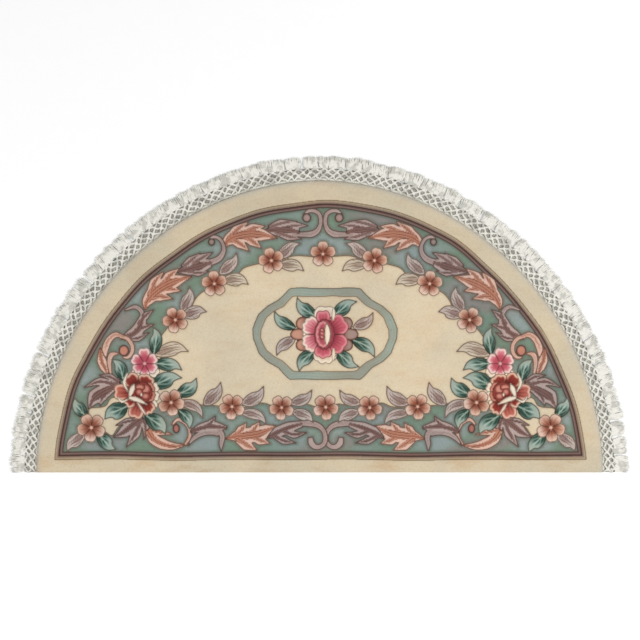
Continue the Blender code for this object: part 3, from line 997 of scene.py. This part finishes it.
inset_arc = cloth_arc(RIM_INSET)
rim = np.vstack((along_chain(inset_arc, RIM_STEP), along_chain(inset_arc[[-1, 0]], RIM_STEP)))
points = np.vstack((*marks, spread))
on_line = np.arange(len(points)) < len(faint)
faint = np.concatenate((faint, np.zeros(len(spread))))
coarse = np.concatenate((np.zeros(len(points) - len(spread), bool), coarse))
inside = well_inside(points, rim, RIM_CLEAR)
points, on_line, faint, coarse = points[inside], on_line[inside], faint[inside], coarse[inside]

cloth = Cloth(points)
paint_pattern(cloth)
wanted = cloth.busy | (cloth.line < FINE * PITCH) | coarse
keep = np.where(on_line, cloth.line <= faint + HIDDEN, (cloth.line > CLEAR * PITCH) & wanted)
print(int((keep & on_line).sum()), "outline points and", int((keep & ~on_line).sum()), "others kept")

# %% [markdown]
# ## The pile's height
#
# Every point gets a height: the pile stands 14 mm, motifs are left a millimetre prouder, and the
# shears cut a groove along each outline. Near the edge of the cloth the pile leans outwards, so
# it is lower there. A small random part stands for single tufts.

# %% Heights and colours of the top
GROOVE = 1.8
GROOVE_REACH = 2.6
RIM_DROP = 3.0
RIM_REACH = 7.0
TUFT_NOISE = 0.10
LIFT_REACH = 4.0
OUTLINE_BROWN = (92, 76, 66)
JOIN_WITHIN = 0.02

at = cloth.at[keep]
line = cloth.line[keep]
tone = cloth.tone[keep]
# Points on an outline lean towards brown: partly dark yarn, partly painted shade in the carved groove.
tone = np.where(on_line[keep][:, None], blend(tone, OUTLINE_BROWN, 0.3), tone)
rim_distance = Cloth(at).distance(np.arange(len(at)), looped(rim), RIM_REACH)
chance = np.random.default_rng(11)
height = PILE + cloth.lift[keep] * ease(0.0, LIFT_REACH, line) - GROOVE * ease(GROOVE_REACH, 0.0, line)
height -= RIM_DROP * (1 - np.clip(rim_distance / RIM_REACH, 0, 1)) ** 2
height += chance.normal(0.0, TUFT_NOISE, len(at))

flat = [Vector(p) for p in np.vstack((rim, at))]
loop = [(i, (i + 1) % len(rim)) for i in range(len(rim))]
joined, _, faces, sources, _, _ = delaunay_2d_cdt(flat, loop, [], 0, JOIN_WITHIN)
source = np.array([found[0] if found else 0 for found in sources])
heights = np.concatenate((np.full(len(rim), PILE - RIM_DROP), height))[source]
tones = np.vstack((all_of(MARGIN_CREAM, len(rim)), tone))[source]
lines = np.concatenate((np.full(len(rim), FAR), line))[source]
print(len(joined), "points and", len(faces), "triangles in the top")

# %% [markdown]
# ## One closed mesh
#
# Under the rim the wall of pile comes down in rows to the floor, bulging a little where the tufts
# lean over. The underside is the backing: a flat sheet with its own few points, marked by an
# attribute so that the material can weave it.

# %% Wall and underside
# The wall's rows, from the top: how far out, and how high
WALL = ((0.0, 8.6), (0.2, 6.0), (-0.2, 3.2), (-0.6, 1.2), (-0.6, 0.0))
BACKING_STEP = 40.0
BACKING_CLEAR = 10.0


def offset_rim(out):
    """The rim's outline moved outwards from its inset place."""
    after, before = np.roll(rim, -1, axis=0), np.roll(rim, 1, axis=0)
    heading = after - before
    normal = np.stack((heading[:, 1], -heading[:, 0]), 1) / np.hypot(*heading.T)[:, None]
    return rim + normal * out


def rows_of_wall(first_ring, count, first_new):
    """Faces between the rings of the wall, the first of which is the top's own rim."""
    rings = [first_ring] + [range(first_new + k * count, first_new + (k + 1) * count)
                            for k in range(len(WALL))]
    for upper, lower in zip(rings, rings[1:]):
        for i in range(count):
            j = (i + 1) % count
            yield (upper[j], upper[i], lower[i], lower[j])


rim_of = {}
for index, found in enumerate(sources):
    for original in found:
        if original < len(rim):
            rim_of[original] = index
first_ring = [rim_of[i] for i in range(len(rim))]
positions = [to_world(*np.array([tuple(p) for p in joined]).T, heights)]
for out, z in WALL:
    ring = offset_rim(RIM_INSET + out)
    positions.append(to_world(ring[:, 0], ring[:, 1], np.full(len(rim), z)))
wall_faces = list(rows_of_wall(first_ring, len(rim), len(joined)))

foot = offset_rim(RIM_INSET + WALL[-1][0])
spots, _ = lattice(BACKING_STEP)
spots = spots[well_inside(spots, foot, BACKING_CLEAR)]
below = [Vector(p) for p in np.vstack((foot, spots))]
under, _, under_faces, _, _, _ = delaunay_2d_cdt(below, loop, [], 0, 0.0001)
last_ring = len(joined) + (len(WALL) - 1) * len(rim)
spots_under = np.array([tuple(p) for p in under])[len(foot):]
positions.append(to_world(*spots_under.T, np.zeros(len(spots_under))))
under_faces = [tuple(last_ring + i for i in reversed(face)) for face in under_faces]
print(len(wall_faces), "faces in the wall,", len(under_faces), "underneath")


# %% The pile as a mesh with its yarn colours and painted shade
def linear(tones):
    """Screen tones of 0 to 255 as the linear light that a shader reads."""
    share = np.clip(np.asarray(tones, float) / 255, 0, 1)
    return np.where(share < 0.04045, share / 12.92, ((share + 0.055) / 1.055) ** 2.4)


def give_values(mesh, name, kind, values):
    """A named attribute on the mesh's points."""
    layer = mesh.attributes.new(name, kind, "POINT")
    field = "color" if kind == "FLOAT_COLOR" else "value"
    layer.data.foreach_set(field, np.asarray(values, np.float32).ravel())


BACKING_TONE = (206, 192, 164)
wall_count = len(WALL) * len(rim)
under_count = len(spots_under)
all_tones = np.vstack((tones, all_of(CREAM, wall_count), all_of(BACKING_TONE, under_count)))
all_lines = np.concatenate((lines, np.full(wall_count + under_count, FAR)))
all_backing = np.concatenate((np.zeros(len(joined) + wall_count - len(rim)),
                              np.ones(len(rim) + under_count)))

pile_mesh = bpy.data.meshes.new("carved_pile")
pile_mesh.from_pydata(np.vstack(positions).tolist(), [],
                      [tuple(face) for face in faces] + wall_faces + under_faces)
pile_mesh.validate()
yarn_light = np.hstack((linear(all_tones), np.ones((len(all_tones), 1))))
# The yarn colours also carry the painted shade laid beside the outlines and on outline points.
give_values(pile_mesh, "yarn", "FLOAT_COLOR", yarn_light)
give_values(pile_mesh, "outline", "FLOAT", all_lines)
give_values(pile_mesh, "backing", "FLOAT", all_backing)
pile_mesh.shade_smooth()
pile = bpy.data.objects.new("carved_pile", pile_mesh)
bpy.context.scene.collection.objects.link(pile)
print("pile:", len(pile_mesh.vertices), "points,", len(pile_mesh.polygons), "faces")

# %% [markdown]
# ## Nodes written as sums
#
# Shader nodes and geometry nodes are wired the same way. A small class wraps a socket, and
# Python's signs add Math nodes, so a formula in the code is a formula in the tree. One method
# adds every other kind of node: its settings first, then what goes into its sockets.


# %% Sockets that can be added and multiplied
class Value:
    """A socket whose number takes part in Python's sums."""

    def __init__(self, nodes, socket):
        self.nodes = nodes
        self.socket = socket

    def maths(self, operation, *numbers):
        return self.nodes.value("ShaderNodeMath", {"operation": operation}, dict(enumerate(numbers)))

    def __floordiv__(self, other):
        return self.maths("FLOOR", self / other)

    def __rfloordiv__(self, other):
        return self.maths("FLOOR", other / self)

    def __abs__(self):
        return self.maths("ABSOLUTE", self)

    def at_least(self, low):
        return self.maths("MAXIMUM", self, low)

    def at_most(self, high):
        return self.maths("MINIMUM", self, high)

    def wave(self):
        return self.maths("SINE", self)


def overload(sign, operation):
    """Let one of Python's signs add its Math node, with the value on either side of it."""
    setattr(Value, f"__{sign}__", lambda value, other: value.maths(operation, value, other))
    setattr(Value, f"__r{sign}__", lambda value, other: value.maths(operation, other, value))


for sign, operation in (("add", "ADD"), ("sub", "SUBTRACT"), ("mul", "MULTIPLY"),
                        ("truediv", "DIVIDE"), ("mod", "FLOORED_MODULO"), ("pow", "POWER")):
    overload(sign, operation)


class Nodes:
    """Adds nodes to one tree."""

    def __init__(self, tree):
        self.tree = tree

    def add(self, kind, settings=None, inputs=None):
        node = self.tree.nodes.new(kind)
        for name, setting in (settings or {}).items():
            setattr(node, name, setting)
        for name, given in (inputs or {}).items():
            self.feed(self.pick(node.inputs, name), given)
        return node

    def value(self, kind, settings=None, inputs=None, output=0):
        node = self.add(kind, settings, inputs)
        return Value(self, self.pick(node.outputs, output))

    def axes(self, vector):
        """The three numbers of a vector."""
        node = self.add("ShaderNodeSeparateXYZ", {}, {0: vector})
        return [Value(self, socket) for socket in node.outputs]

    def pick(self, sockets, name):
        """A socket by its number, or the one of that name that the settings switched on."""
        if isinstance(name, int):
            return sockets[name]
        return next(socket for socket in sockets if socket.name == name and socket.enabled)

    def feed(self, socket, given):
        if isinstance(given, (list, tuple)) and given and isinstance(given[0], Value):
            for one in reversed(given):
                self.tree.links.new(one.socket, socket)
        elif isinstance(given, Value):
            self.tree.links.new(given.socket, socket)
        else:
            socket.default_value = given


# %% Helpers for finishes
class Finish(Nodes):
    """The nodes of one material, round its Principled shader."""

    def __init__(self, name, **constants):
        self.material = bpy.data.materials.new(name)
        self.material.use_nodes = True
        super().__init__(self.material.node_tree)
        self.shader = self.tree.nodes["Principled BSDF"]
        for socket, number in constants.items():
            self.shader.inputs[socket.replace("_", " ")].default_value = number
        self.place = self.value("ShaderNodeTexCoord", output="Object")

    def read(self, attribute, output="Fac"):
        """What is stored on the mesh's points under this name."""
        return self.value("ShaderNodeAttribute", {"attribute_name": attribute}, output=output)

    def noise(self, scale, detail, roughness=0.5, stretch=(1, 1, 1)):
        place = self.value("ShaderNodeVectorMath", {"operation": "MULTIPLY"}, {0: self.place, 1: stretch})
        inputs = {"Vector": place, "Scale": scale, "Detail": detail, "Roughness": roughness}
        return self.value("ShaderNodeTexNoise", {}, inputs)

    def cells(self, scale):
        """The distance to the nearest of many scattered points."""
        return self.value("ShaderNodeTexVoronoi", {"feature": "F1"}, {"Vector": self.place, "Scale": scale})

    def threads(self, scale, across):
        inputs = {"Vector": self.place, "Scale": scale, "Distortion": 0.4}
        return self.value("ShaderNodeTexWave", {"bands_direction": across}, inputs, "Fac")

    def step(self, value, low, high):
        """A soft step of a value, from 0 at low to 1 at high, which may lie below low."""
        inputs = {"Value": value, "From Min": low, "From Max": high}
        return self.value("ShaderNodeMapRange", {"interpolation_type": "SMOOTHSTEP"}, inputs)

    def mix(self, low, high, share, blend_type="MIX"):
        settings = {"data_type": "RGBA", "blend_type": blend_type}
        return self.value("ShaderNodeMix", settings, {"Factor": share, "A": low, "B": high}, "Result")

    def tint(self, colour, tone, share):
        """The colour multiplied by a tone, as far as the share says."""
        return self.mix(colour, tone, share, "MULTIPLY")

    def finish(self, colour, roughness, height, distance, strength):
        """Colour, roughness and bump into the shader."""
        inputs = {"Height": height, "Distance": distance, "Strength": strength}
        normal = self.value("ShaderNodeBump", {}, inputs)
        for socket, given in (("Base Color", colour), ("Roughness", roughness), ("Normal", normal)):
            self.feed(self.shader.inputs[socket], given)
        return self.material


# %% [markdown]
# ## Wool
#
# Cut wool pile is matt, with a soft sheen, and made of tufts about 2 mm apart, with painted shade
# in the gaps between them. Each dye lot takes a little differently, so the plain ground drifts
# between cooler and warmer cream. It is a little soiled along the straight edge, where the rug is
# trodden, and a little greyer along the arc, partly wear and partly painted shade where the pile
# turns over. The material reads the yarn colour that was painted on the points, with the painted
# shade beside the outlines, and darkens the carved outline from its distance, partly as dark yarn
# and partly as painted shade in the groove. On the underside the same yarns give way to a plain
# cotton backing weave.

# %% The carved wool
TUFTS = 430.0
FIBRES = 1500.0
THREADS = 520.0
WORN_FROM = -0.335
WORN_TO = -0.28
PILE_BUMP = 0.0008

# Tints multiply the yarn, so 1 leaves it as it is
COOL_DYE = (0.94, 0.962, 0.978, 1)
WARM_DYE = (1.045, 1.03, 1.01, 1)
STREAK_TINT = (0.975, 0.94, 0.915, 1)
MOTTLE_TINT = (0.94, 0.94, 0.92, 1)
# Painted shade in the gaps between tufts, where the bump is lowest
TUFT_GAP_SHADE_TINT = (0.93, 0.925, 0.92, 1)
STAIN_TINT = (0.92, 0.84, 0.77, 1)
# Along the arc the pile turns a cool grey: partly wear, partly painted shade where it turns over
ARC_WEAR_AND_SHADE_TINT = (0.93, 0.985, 1.10, 1)
# Darkens the carved outlines: partly dark yarn, partly painted shade in the groove
CUT_YARN_AND_SHADE_TINT = (0.34, 0.28, 0.25, 1)
BACKING_DARK = (0.42, 0.36, 0.27, 1)
BACKING_PALE = (0.64, 0.56, 0.43, 1)


def carved_wool():
    wool = Finish("carved_wool", Sheen_Weight=0.25, Sheen_Roughness=0.5, Specular_IOR_Level=0.15)
    outline = wool.read("outline")
    backing = wool.read("backing")
    side, depth, _ = wool.axes(wool.place)
    drift = wool.noise(7.0, 3.0)
    streaks = wool.noise(26.0, 3.0, 0.6, (0.5, 1.6, 1))
    mottle = wool.noise(150.0, 3.0, 0.65)
    stains = wool.noise(11.0, 4.0, 0.6, (1, 2.5, 1))
    tufts = wool.cells(TUFTS)
    fibres = wool.noise(FIBRES, 2.0)
    trodden = wool.step(depth, WORN_TO, WORN_FROM)
    across = abs(side) / (CLOTH_HALF * MILLIMETRE)
    up = ((depth - FRONT) / (CLOTH_DEPTH * MILLIMETRE)).at_least(0.0)
    bow = across ** EDGE_POWER + up ** EDGE_POWER

    dye = wool.mix(COOL_DYE, WARM_DYE, wool.step(drift, 0.35, 0.62))
    colour = wool.tint(wool.read("yarn", "Color"), dye, 1.0)
    for tone, share in ((STREAK_TINT, wool.step(streaks, 0.46, 0.72)),
                        (MOTTLE_TINT, wool.step(mottle, 0.45, 0.75)),
                        (TUFT_GAP_SHADE_TINT, wool.step(tufts, 0.35, 0.75)),
                        (STAIN_TINT, wool.step(stains, 0.46, 0.66) * (0.25 + 0.75 * trodden)),
                        (ARC_WEAR_AND_SHADE_TINT, wool.step(bow, 0.958, 0.998)),
                        (CUT_YARN_AND_SHADE_TINT, wool.step(outline, 1.7, 0.4) * 0.8)):
        colour = wool.tint(colour, tone, share)

    weave = wool.threads(THREADS, "X") * wool.threads(THREADS, "Y")
    colour = wool.mix(colour, wool.mix(BACKING_DARK, BACKING_PALE, weave), backing)
    pile_height = (1 - tufts) * 0.7 + fibres * 0.3
    height = pile_height * (1 - backing) + weave * backing
    return wool.finish(colour, 0.86 + 0.1 * fibres, height, PILE_BUMP, 0.25)


pile_mesh.materials.append(carved_wool())
print("wool: tufts", round(1000 / TUFTS, 1), "mm apart")

# %% [markdown]
# ## The fringe
#
# The fringe is sewn on: a cotton tape against the edge of the pile, two rows of open mesh knotted
# from pairs of twisted cords, and a dense brush of cut tails. All of it follows the arc, so it is
# laid out by columns: a place on the arc is a column's number, a distance outwards and a height.
# Geometry Nodes look up that place on one rail, the edge of the cloth.

# %% The rail and the tools of the fringe's trees
COLUMNS = 110
SEAM_GAP = 0.0003
HEADING = 0.0048
ROW_STEP = 0.0078
TAIL_REACH = 0.0580
RAIL_STEPS = 660

SOCKETS = {float: "NodeSocketFloat", int: "NodeSocketInt"}


class Trimming(Nodes):
    """A Geometry Nodes tree whose named sizes become the inputs of its modifier."""

    def __init__(self, name, sizes, material):
        super().__init__(bpy.data.node_groups.new(name, "GeometryNodeTree"))
        self.sizes = sizes
        self.material = material
        face = self.tree.interface
        for way in ("INPUT", "OUTPUT"):
            face.new_socket("Geometry", in_out=way, socket_type="NodeSocketGeometry")
        for label, size in sizes.items():
            face.new_socket(label, in_out="INPUT", socket_type=SOCKETS[type(size)])
        self.entry = self.tree.nodes.new("NodeGroupInput")
        self.rail = self.value("GeometryNodeMeshToCurve", {}, {0: self.size("Geometry")})

    def size(self, label):
        return Value(self, self.pick(self.entry.outputs, label))

    def strands(self, count, points):
        """Many short lines, each of which knows its own number, and that number."""
        cloud = self.value("GeometryNodePoints", {}, {"Count": count})
        line = self.value("GeometryNodeCurvePrimitiveLine", {"mode": "POINTS"})
        line = self.value("GeometryNodeResampleCurve", {"mode": "COUNT"}, {"Curve": line, "Count": points})
        copies = self.value("GeometryNodeInstanceOnPoints", {}, {"Points": cloud, "Instance": line})
        settings = {"data_type": "INT", "domain": "INSTANCE"}
        inputs = {"Geometry": copies, "Name": "strand", "Value": self.value("GeometryNodeInputIndex")}
        named = self.value("GeometryNodeStoreNamedAttribute", settings, inputs)
        lines = self.value("GeometryNodeRealizeInstances", {}, {"Geometry": named})
        own = self.value("GeometryNodeInputNamedAttribute", {"data_type": "INT"}, {"Name": "strand"})
        return lines, own

    def random(self, low, high, number, seed):
        inputs = {"Min": low, "Max": high, "ID": number, "Seed": seed}
        return self.value("FunctionNodeRandomValue", {"data_type": "FLOAT"}, inputs, "Value")

    def place(self, column, out, height):
        """The point of a column on the rail, moved outwards and up."""
        share = column / self.size("Columns")
        inputs = {"Curves": self.rail, "Factor": share}
        node = self.add("GeometryNodeSampleCurve", {"mode": "FACTOR"}, inputs)
        spot, along = [Value(self, self.pick(node.outputs, name)) for name in ("Position", "Tangent")]
        along_x, along_y, _ = self.axes(along)
        parts = {0: along_y * out, 1: along_x * out * -1.0, 2: height}
        move = self.value("ShaderNodeCombineXYZ", {}, parts)
        return self.value("ShaderNodeVectorMath", {"operation": "ADD"}, {0: spot, 1: move})

    def moved(self, geometry, place):
        return self.value("GeometryNodeSetPosition", {}, {"Geometry": geometry, "Position": place})

    def tubes(self, lines, radius, sides):
        circle = self.value("GeometryNodeCurvePrimitiveCircle", {"mode": "RADIUS"},
                            {"Resolution": sides, "Radius": 1.0})
        inputs = {"Curve": lines, "Profile Curve": circle, "Scale": radius, "Fill Caps": True}
        return self.value("GeometryNodeCurveToMesh", {}, inputs)

    def close(self, *parts):
        """Join, realize, smooth and give the material, then out of the tree."""
        joined = self.value("GeometryNodeJoinGeometry", {}, {0: list(parts)})
        real = self.value("GeometryNodeRealizeInstances", {}, {"Geometry": joined})
        smooth = self.value("GeometryNodeSetShadeSmooth", {}, {"Geometry": real})
        painted = self.value("GeometryNodeSetMaterial", {}, {"Geometry": smooth, "Material": self.material})
        self.add("NodeGroupOutput", {}, {0: painted})

    def make(self, name, rail_mesh):
        """Run the tree on the rail and keep the result as a plain mesh."""
        holder = bpy.data.objects.new(name, rail_mesh)
        bpy.context.scene.collection.objects.link(holder)
        modifier = holder.modifiers.new("Trimming", "NODES")
        modifier.node_group = self.tree
        for item in self.tree.interface.items_tree:
            if item.in_out == "INPUT" and item.name in self.sizes:
                modifier[item.identifier] = self.sizes[item.name]
        ready = holder.evaluated_get(bpy.context.evaluated_depsgraph_get())
        mesh = bpy.data.meshes.new_from_object(ready)
        mesh.name = name
        holder.modifiers.clear()
        holder.data = mesh
        print(name, "has", sum(len(p.vertices) - 2 for p in mesh.polygons), "triangles")
        return holder


arc = cloth_arc(0.0, RAIL_STEPS)
rail_points = to_world(arc[:, 0], arc[:, 1], np.zeros(len(arc)))
rail_mesh = bpy.data.meshes.new("rail")
rail_mesh.from_pydata(rail_points.tolist(), [(i, i + 1) for i in range(len(arc) - 1)], [])
print("rail of", round(float(np.hypot(*np.diff(arc, axis=0).T).sum()), 1), "mm for", COLUMNS, "columns")

# %% [markdown]
# ## Cotton
#
# The cords and tails are undyed cotton, off-white, with painted shade that greys them low down,
# near the floor. Fine noise stretched over the yarn gives its fibres.

# %% The fringe's cotton
COTTON_PALE = (0.80, 0.785, 0.72, 1)
COTTON_DULL = (0.57, 0.56, 0.505, 1)
FIBRE_TINT = (0.90, 0.90, 0.89, 1)
# Painted shade: the cotton darkens towards the floor, from the first height down to the second
LOW_SHADE_TINT = (0.40, 0.39, 0.36, 1)
SHADE_STARTS_AT = 0.0026
SHADE_FULL_AT = 0.0002
COTTON_BUMP = 0.0005


def fringe_cotton():
    fringe = Finish("fringe_cotton", Sheen_Weight=0.2, Specular_IOR_Level=0.2)
    drift = fringe.noise(80.0, 2.0)
    fibres = fringe.noise(900.0, 3.0, 0.6)
    # painted shade, by height above the floor
    hollow = fringe.step(fringe.axes(fringe.place)[2], SHADE_STARTS_AT, SHADE_FULL_AT)
    colour = fringe.mix(COTTON_PALE, COTTON_DULL, fringe.step(drift, 0.44, 0.62))
    colour = fringe.tint(colour, FIBRE_TINT, fringe.step(fibres, 0.5, 0.8))
    colour = fringe.tint(colour, LOW_SHADE_TINT, hollow)
    return fringe.finish(colour, 0.82 + 0.12 * fibres, fibres, COTTON_BUMP, 0.6)


cotton = fringe_cotton()
# below this height the cotton gets painted shade
print("cotton is in shade below", 1000 * SHADE_STARTS_AT, "mm")

# %% [markdown]
# ## Tape, cords and knots
#
# A cord runs slantwise from one knot to the next: even rows close towards a half column and odd
# rows open again, which makes the diamonds. Each cord is two plies that wind round each other,
# half a turn apart. The knots are small flattened balls over the crossings. The tape that is
# sewn to the rug has a rounded fold and runs on under the net as a sheet darkened by painted
# shade, which stands for the shade in the net's holes.

# %% Twisted cords
SLACK = 0.10
PLIES = 2.0
LEANS = 2.0
ROWS = 3.0
TWIST = 13.0


def slack(column, out):
    """Hand knotting leaves the knots a little off their columns."""
    return column + (column * 2.6 + out * 310.0).wave() * SLACK


net = Trimming("Knotted net", {
    "Columns": COLUMNS, "Heading": HEADING, "Row step": ROW_STEP, "Ply radius": 0.00170,
    "Twist radius": 0.00135, "Cord height": 0.0031, "Cord arch": 0.0004, "Knot radius": 0.0041,
    "Knot height": 0.0038, "Seed": 4, "Tape and shade sheet width": 0.0270, "Tape height": 0.0003,
    "Tape thickness": 0.0008, "Fold start": 0.0006, "Fold width": 0.0052, "Fold height": 0.0019,
}, cotton)
columns = net.size("Columns")
heading = net.size("Heading")
row_step = net.size("Row step")

lines, number = net.strands(columns * (PLIES * LEANS * ROWS), 10)
ply = number % PLIES
lean = (number // PLIES) % LEANS
row = (number // (PLIES * LEANS)) % ROWS
column = number // (PLIES * LEANS * ROWS)
share = net.value("GeometryNodeSplineParameter")
odd = row % 2.0
travel = share * (1 - odd) + (1 - share) * odd
turn = share * TWIST + ply * math.pi + number
wind = net.size("Twist radius")
cord_out = heading + (row + share) * row_step
cord_column = slack(column + lean + (0.5 - lean) * travel, cord_out)
cord_out = cord_out + turn.wave() * wind
cord_height = net.size("Cord height") + (turn + math.pi / 2).wave() * wind
cord_height = cord_height + (share * math.pi).wave() * net.size("Cord arch")
cord_place = net.place(cord_column, cord_out, cord_height)
cords = net.tubes(net.moved(lines, cord_place), net.size("Ply radius"), 5)
print("a cord turns", round(TWIST / (2 * math.pi), 1), "times from knot to knot")

# %% Knots
FIRST_KNOT = 0.25

tally = net.value("GeometryNodeInputIndex")
knot_row = tally % ROWS
knot_column = (tally // ROWS + 0.5 - 0.5 * (knot_row % 2.0)).at_least(FIRST_KNOT)
knot_out = heading + (knot_row + 1) * row_step
spots = net.value("GeometryNodePoints", {}, {"Count": columns * ROWS})
spots = net.moved(spots, net.place(slack(knot_column, knot_out), knot_out, net.size("Knot height")))
ball = net.value("GeometryNodeMeshIcoSphere", {}, {"Radius": net.size("Knot radius"), "Subdivisions": 2})
size = net.random(0.85, 1.15, tally, net.size("Seed"))
squat = net.value("ShaderNodeCombineXYZ", {}, {0: size, 1: size, 2: size * 0.8})
knots = net.value("GeometryNodeInstanceOnPoints", {}, {"Points": spots, "Instance": ball, "Scale": squat})
print(int(COLUMNS * ROWS), "knots")

# %% Tape
TAPE_STEPS = {"Vertices X": 441, "Vertices Y": 20}

# Past its fold the tape runs on under the net as a sheet that painted shade darkens, standing for the shade
# in the holes.
strip = net.value("GeometryNodeMeshGrid", {}, {"Size X": 1.0, "Size Y": 1.0, **TAPE_STEPS})
strip_x, strip_y, _ = net.axes(net.value("GeometryNodeInputPosition"))
tape_column = (strip_x + 0.5) * columns
tape_out = (strip_y + 0.5) * net.size("Tape and shade sheet width")
fold = ((tape_out - net.size("Fold start")) / net.size("Fold width")).at_least(0.0).at_most(1.0)
tape_height = (fold * math.pi).wave() * net.size("Fold height") + net.size("Tape height")
tape = net.moved(strip, net.place(tape_column, tape_out + SEAM_GAP, tape_height))
turned = net.value("GeometryNodeFlipFaces", {}, {"Mesh": tape})
upper = net.value("GeometryNodeExtrudeMesh", {"mode": "FACES"},
                  {"Mesh": turned, "Offset": (0.0, 0.0, 1.0), "Offset Scale": net.size("Tape thickness"),
                   "Individual": False})
tape = net.value("GeometryNodeJoinGeometry", {}, {0: [upper, tape]})
tape = net.value("GeometryNodeMergeByDistance", {}, {"Geometry": tape, "Distance": 0.00001})
net.close(cords, knots, tape)
fringe_net = net.make("fringe_net", rail_mesh)

# %% [markdown]
# ## Tails
#
# From each outer knot a bunch of cut yarn spreads until it meets its neighbours. A strand starts
# close to its knot and ends at its own place across the column, at a length that wanders from
# bunch to bunch and a little from strand to strand.

# %% The cut tails
SWAY_TURN = 7.0
SWAY_COLUMNS = 25.0

tails = Trimming("Cut tails", {
    "Columns": COLUMNS, "Strands": 13, "Start": HEADING + ROWS * ROW_STEP, "Reach": TAIL_REACH,
    "Strand radius": 0.0018, "Waviness": 0.0016, "Seed": 21, "Lean": 0.24, "Crest": 0.06,
    "Root spread": 0.7, "Tip spread": 1.2, "Root height": 0.0028, "Crown": 0.0018, "Arch": 0.0008,
}, cotton)
columns = tails.size("Columns")
strands = tails.size("Strands")
start = tails.size("Start")
seed = tails.size("Seed")

lines, number = tails.strands(columns * strands, 7)
bunch = number // strands
within = (number % strands + 0.5) / strands - 0.5
edge = within * within * 4
share = tails.value("GeometryNodeSplineParameter")
bunch_length = tails.random(-0.08, 0.08, bunch, seed)
own_length = tails.random(0.92, 1.0, number, seed + 1.0) - edge * 0.09
lean = tails.random(-1.0, 1.0, bunch, seed + 5.0) * tails.size("Lean")
knot_place = slack(bunch + 0.5, start)
root_column = knot_place + within * tails.size("Root spread")
jitter = tails.random(-0.10, 0.10, number, seed + 2.0)
tip_column = knot_place + lean + within * tails.size("Tip spread") + jitter
opening = share ** 0.6
strand_column = root_column * (1 - opening) + tip_column * opening
crest = (bunch / columns * math.pi).wave()
reach = tails.size("Reach") * (1 - crest * crest * crest * tails.size("Crest"))
strand_out = start + (reach - start) * (own_length + bunch_length) * share
layer = tails.random(0.0021, 0.0031, number, seed + 3.0) + (1 - edge) * tails.size("Crown")
strand_height = tails.size("Root height") * (1 - share) + layer * share
strand_height = strand_height + (share * math.pi).wave() * tails.size("Arch")
wobble = tails.random(0.0, 6.3, number, seed + 4.0)
sway = (share * SWAY_TURN + wobble).wave() * tails.size("Waviness") * share
place = tails.place(strand_column + sway * SWAY_COLUMNS, strand_out + sway * 0.3, strand_height)
radius = tails.size("Strand radius") * (1.0 - share * 0.2 - share ** 5.0 * 0.35)
tails.close(tails.tubes(tails.moved(lines, place), radius, 7))
fringe_tails = tails.make("fringe_tails", rail_mesh)

# %% [markdown]
# ## What each piece stands for
#
# The pieces ride on the rug's one body and replace the plain solids of the frame.

cut_x, cut_y = looped(arc).T
for piece, node, finish in ((pile, "rug", "wool_pile"), (fringe_net, "fringe", "fringe_cotton"),
                            (fringe_tails, "fringe", "fringe_cotton")):
    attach(piece, "root")
    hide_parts(node)

# %% [markdown]
# ## Floor, light and camera
#
# The photograph looks straight down on a white ground. A long lens keeps the edges square. Two
# large soft lamps stand to the right and to the left of the rug. The right one is a little
# smaller and stronger, so that each carved edge has a bright and a dark side, and the sky fills
# the rest.

# %% Floor
FLOOR_HALF = 8.0

floor_mesh = bpy.data.meshes.new("floor")
corners = [(x * FLOOR_HALF, y * FLOOR_HALF, 0) for x, y in ((-1, -1), (1, -1), (1, 1), (-1, 1))]
floor_mesh.from_pydata(corners, [], [(0, 1, 2, 3)])
floor = bpy.data.objects.new("floor", floor_mesh)
bpy.context.scene.collection.objects.link(floor)
paper = Finish("pale_floor", Specular_IOR_Level=0.1)
grain = paper.noise(40.0, 3.0)
pale = paper.mix((0.97, 0.97, 0.97, 1), (0.99, 0.99, 0.99, 1), grain)
floor_mesh.materials.append(paper.finish(pale, 0.8 + 0.1 * grain, grain, 0.0002, 0.2))
print("floor of", 2 * FLOOR_HALF, "m a side")

# %% Lights
SKY = 0.51


def soft_light(name, place, size, energy):
    """A square lamp that points at the rug's middle."""
    lamp = bpy.data.lights.new(name, "AREA")
    lamp.size = size
    lamp.energy = energy
    made = bpy.data.objects.new(name, lamp)
    made.location = place
    made.rotation_euler = (-Vector(place)).to_track_quat("-Z", "Y").to_euler()
    bpy.context.scene.collection.objects.link(made)
    print(name, "lamp", round(Vector(place).length, 2), "m from the rug's middle")


soft_light("key", (2.2, -0.4, 2.8), 1.6, 60.0)
soft_light("fill", (-2.4, -0.8, 3.0), 2.5, 50.0)
world = bpy.data.worlds.new("studio")
world.use_nodes = True
world.node_tree.nodes["Background"].inputs["Color"].default_value = (1, 1, 1, 1)
world.node_tree.nodes["Background"].inputs["Strength"].default_value = SKY
bpy.context.scene.world = world
bpy.context.scene.view_settings.view_transform = "Standard"

# %% Camera straight above
VIEW_WIDTH = 1.3843
VIEW_MIDDLE = (0.0007, -0.0147)
LENS = 85.0

camera_data = bpy.data.cameras.new("camera")
camera_data.lens = LENS
camera = bpy.data.objects.new("camera", camera_data)
distance = VIEW_WIDTH * LENS / camera_data.sensor_width
camera.location = (*VIEW_MIDDLE, distance)
bpy.context.scene.collection.objects.link(camera)
bpy.context.scene.camera = camera
print("camera", round(distance, 3), "m above the floor")
